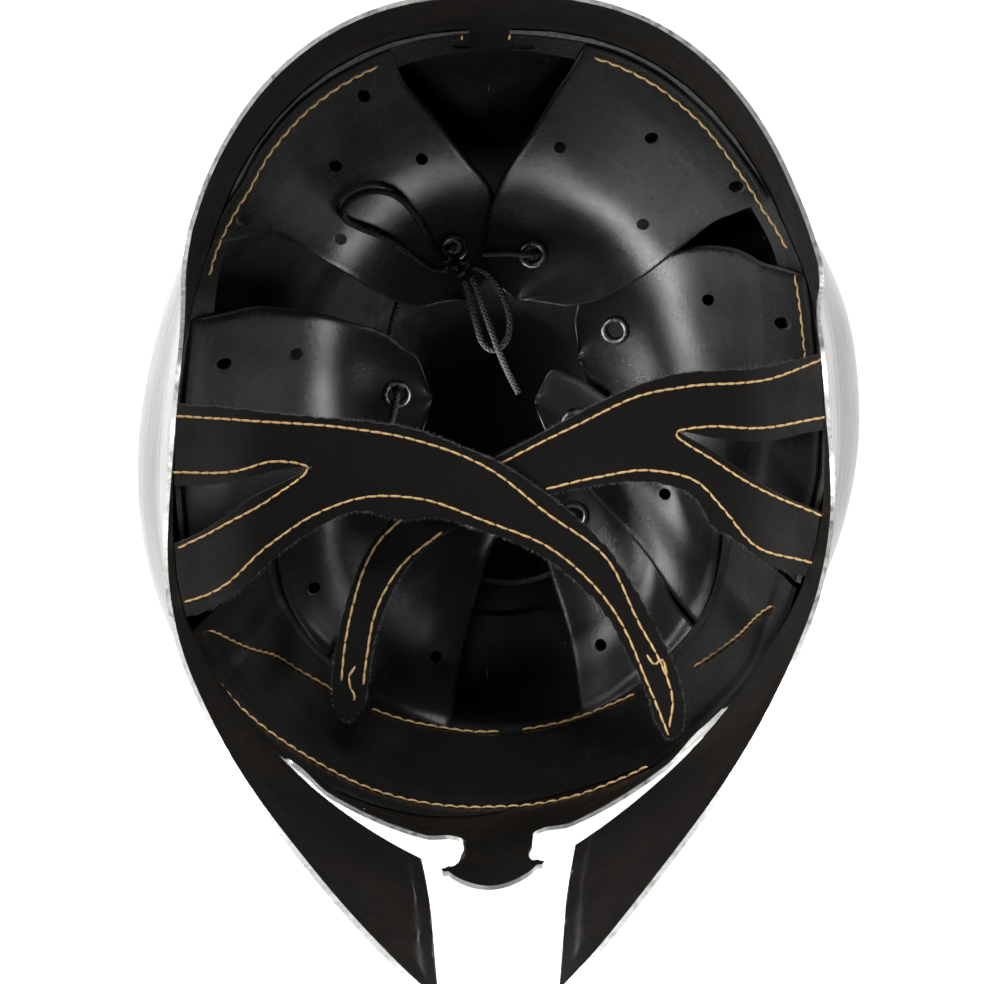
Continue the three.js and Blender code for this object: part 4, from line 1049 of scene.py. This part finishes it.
# Finish of the lace: dull black cotton, its braid a fine crossing rib.
braid, tree, shader = finish_tree("braided_cotton")
weave = texture(tree, "ShaderNodeAttribute", attribute_name="weave").outputs["Vector"]
parts = tree.nodes.new("ShaderNodeSeparateXYZ")
tree.links.new(weave, parts.inputs[0])
turned = maths(tree, "ARCTAN2", parts.outputs[0], parts.outputs[1])
around = maths(tree, "MULTIPLY", turned, 4.0)
forward = maths(tree, "MULTIPLY", parts.outputs[2], 4.2)
rib_a = maths(tree, "SINE", maths(tree, "ADD", around, forward))
rib_b = maths(tree, "SINE", maths(tree, "SUBTRACT", around, forward))
rib = maths(tree, "MAXIMUM", rib_a, rib_b)
fluff = noise(tree, 1800, 4)
tone = maths(tree, "ADD", maths(tree, "MULTIPLY", rib, 0.35), maths(tree, "MULTIPLY", fluff, 0.7))
feed(tree, shader, "Base Color", tone, [(0.1, (0.008, 0.0075, 0.007)), (0.75, (0.055, 0.052, 0.05))])
shader.inputs["Roughness"].default_value = 0.75
bumped(tree, shader, [(rib, 0.0004, 0.8), (fluff, 0.0002, 0.4)])

ring_points = []
for row in LACE_RING:
    if len(row) == 2:
        centre, axis = eyelet_axis[row[0]]
        way = 1 if row[1] == "up" else -1
        ring_points += [tuple(centre + axis * way * d) for d in (-2.3, 0, 2.3)]
    else:
        ring_points.append(tuple(lining(*row)))
routes = {
    "lace_ring": ring_points,
    "lace_loop_left": [on_lining(*r) for r in LACE_LOOP_LEFT],
    "lace_loop_right": [on_lining(*r) for r in LACE_LOOP_RIGHT],
    "lace_end": [on_lining(*r) for r in LACE_END],
}
knot_at = np.array(on_lining(*KNOT))
a = np.linspace(0, 2 * np.pi, KNOT_STEPS, endpoint=False)
trefoil = [np.sin(a) + 1.7 * np.sin(2 * a), np.cos(a) - 1.7 * np.cos(2 * a), -1.5 * np.sin(3 * a)]
knot_path = np.stack(trefoil, 1) * 0.92
rings = tube(np.concatenate([knot_path, knot_path[:1]]), LACE / 2 * 0.93, LACE_SIDES)[:-1]
rings = rings + knot_at
k = np.arange(LACE_SIDES)
n = (k + 1) % LACE_SIDES
last = (KNOT_STEPS - 1) * LACE_SIDES
closing = np.stack([last + k, last + n, n, k], 1)
faces = np.concatenate([grid_faces(KNOT_STEPS, LACE_SIDES, 0, True), closing]).tolist()
knot = new_mesh("lace_bow_knot", rings.reshape(-1, 3), faces, materials=(braid,), sharp=60)
set_weave(knot, np.tile(k * np.pi / 6, KNOT_STEPS), np.repeat(np.arange(KNOT_STEPS) * 0.35, LACE_SIDES))
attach(knot, "root")
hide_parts("lace_knot")
for name, route in routes.items():
    line = through(route, 1.0)
    cord = tube_object(name + "_braid", line, LACE / 2, LACE_SIDES, (braid,))
    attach(cord, "root")
    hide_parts(name)

# Stitching: rows of ochre thread, each stitch a short arched length of thread that dips into the
# leather at both ends, through the rear bands, the brow band and the straps.
thread, tree, shader = finish_tree("ochre_thread")
ply = noise(tree, 2600, 3)
feed(tree, shader, "Base Color", ply, [(0.3, (0.5, 0.29, 0.105)), (0.7, (0.85, 0.58, 0.27))])
shader.inputs["Roughness"].default_value = 0.6
bumped(tree, shader, [(ply, 0.0002, 0.6)])


def stitched(name, lines, pitch=3.95, long=3.8, thick=0.38):
    """Rows of stitches along lines of points and normals: each is a six sided tube whose height over
    the leather follows a half sine, sunk at its ends."""
    rings = []
    for line, up in lines:
        along = np.r_[0, np.cumsum(np.linalg.norm(np.diff(line, axis=0), axis=1))]
        starts = np.arange(pitch / 2, along[-1] - long / 2, pitch)
        jitter = 0.12 * np.sin(starts * 3.7)
        s = np.linspace(-0.5, 0.5, 7)
        at = starts[:, None] + jitter[:, None] + s[None, :] * long
        p = np.stack([np.interp(at, along, line[:, k]) for k in range(3)], -1)
        n = unit(np.stack([np.interp(at, along, up[:, k]) for k in range(3)], -1))
        ahead = unit(np.gradient(p, axis=1))
        across = np.cross(n, ahead)
        slant = 0.18 * np.sin(starts * 1.9)[:, None, None] * s[None, :, None]
        p = p + n * (thick * 0.9 * np.cos(np.pi * s) - 0.05)[None, :, None] + across * slant
        fat = thick * (0.55 + 0.45 * np.cos(np.pi * s) ** 0.5)
        a = np.arange(6) * np.pi / 3
        sideways = np.cos(a)[None, None, :, None] * across[:, :, None]
        upwards = np.sin(a)[None, None, :, None] * n[:, :, None]
        rings.append(p[:, :, None] + fat[None, :, None, None] * (sideways + upwards))
    rings = np.concatenate(rings)
    n = len(rings)
    one = grid_faces(7, 6, 0, True)
    faces = (one[None] + (np.arange(n) * 42)[:, None, None]).reshape(-1, 4).tolist()
    cap = np.arange(6)
    faces += (cap[::-1][None] + (np.arange(n) * 42)[:, None]).tolist()
    faces += ((cap + 36)[None] + (np.arange(n) * 42)[:, None]).tolist()
    item = new_mesh(name, rings.reshape(-1, 3), faces, materials=(thread,), sharp=60)
    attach(item, "root")
    return item


rear = []
for start, end in ((-59.5, -16.8), (13.5, 56), (60, 78)):
    deg = np.linspace(start, end, 120)
    line = lining(deg, 0.9925, LEATHER + GAP + 0.2)
    over = lining(deg, 0.9925, LEATHER + GAP + 1.2)
    rear.append((line, unit(over - line)))
for deg, high, low in ((-5, 0.997, 0.985), (1.5, 0.999, 0.984)):
    share = np.linspace(high, low, 12)
    line = lining(deg, share, -GAP + 0.1)
    rear.append((line, unit(lining(deg, share, 1) - line)))
stitched("stitches_rear_bands", rear)
BROW_ROWS = [
    [(0.984, 0.85), (0.922, 0.67), (0.85, 0.42), (0.774, 0.31), (0.735, 0.27)],
    [(0.715, 0.24), (0.669, 0.2), (0.623, 0.16), (0.565, 0.12), (0.517, 0.1)],
    [(0.489, 0.1), (0.429, 0.11), (0.367, 0.14), (0.301, 0.2)],
    [(0.21, 0.42), (0.152, 0.54), (0.076, 0.78), (0.04, 0.88)],
    [(0.928, 0.97), (0.886, 0.96), (0.82, 0.95), (0.752, 0.94), (0.689, 0.94), (0.585, 0.92), (0.523, 0.9),
     (0.445, 0.9), (0.377, 0.91), (0.321, 0.93)],
]
brow_rows = []
for row in BROW_ROWS:
    along, across = rounded(row, 0.004).T
    line = brow_point(across, along, 0.3)[0]
    brow_rows.append((line, unit(brow_point(across, along, 1.3)[0] - line)))
stitched("stitches_brow_band", brow_rows)
# Stitch rows of the straps seen from above.
STRAP_ROWS = {
    "strap_left": [
        [(-92, 27), (-70, 22.8), (-45.9, 18.9), (-23.5, 13.4), (-3.9, 5.1), (15.5, -9.8), (32.4, -22.4),
         (43.1, -42.9),
         (49.4, -54.1), (52.9, -65.3), (51.8, -74)],
        [(51.8, -76), (45.7, -61), (35, -38.5), (15.6, -19.9), (-4, -11.5), (-23.6, -4), (-39.7, -2.5),
         (-55.3, -6.8),
         (-67.8, -14.2), (-82.8, -25.5), (-92, -27.2)],
        [(45, -51.6), (47.8, -54.6), (49.4, -52.8), (51.4, -57.6)],
        [(-93, 11), (-76.5, 9), (-66, 10.6), (-56.3, 7.8), (-66, 0.2), (-79.5, -6.2), (-93, -11.6)],
    ],
    "strap_right": [
        [(93.4, 43.6), (78.4, 35.7), (56.3, 31.4), (43, 27.8), (25.2, 18.3), (8.5, 9.4), (-4, 2.4)],
        [(90.2, -15.9), (75.4, -13.5), (66.2, -3.6), (59.2, 3.2), (45.8, 5.4), (29.5, 2), (13.4, -2.6)],
        [(94.3, 27), (75.3, 21), (62, 20), (53, 17.4), (64, 10), (74, 4.4), (93.1, -2)],
        [(-26, -9), (-37.3, -20.3), (-44.6, -39.3), (-46.6, -49.2), (-48.2, -64.1)],
        [(-17.1, -16), (-29.8, -26.8), (-37.4, -40.4), (-40.2, -54.4), (-41.6, -66)],
        [(-43.6, -57), (-45.6, -60.4), (-45.2, -63.6), (-43.9, -66.4), (-44.8, -70)],
    ],
}
for name, lines in STRAP_ROWS.items():
    s = STRAPS[name]
    made = []
    for row in lines:
        plan = rounded(row, 1.5)
        x, y = plan.T
        z = strap_under(s, x, y) + LEATHER
        dx = (strap_height(s, x + 0.5, y) - strap_height(s, x - 0.5, y))
        dy = (strap_height(s, x, y + 0.5) - strap_height(s, x, y - 0.5))
        up = unit(np.stack([-dx, -dy, np.ones_like(x)], 1))
        made.append((np.stack([x, y, z], 1), up))
    stitched("stitches_" + name, made)
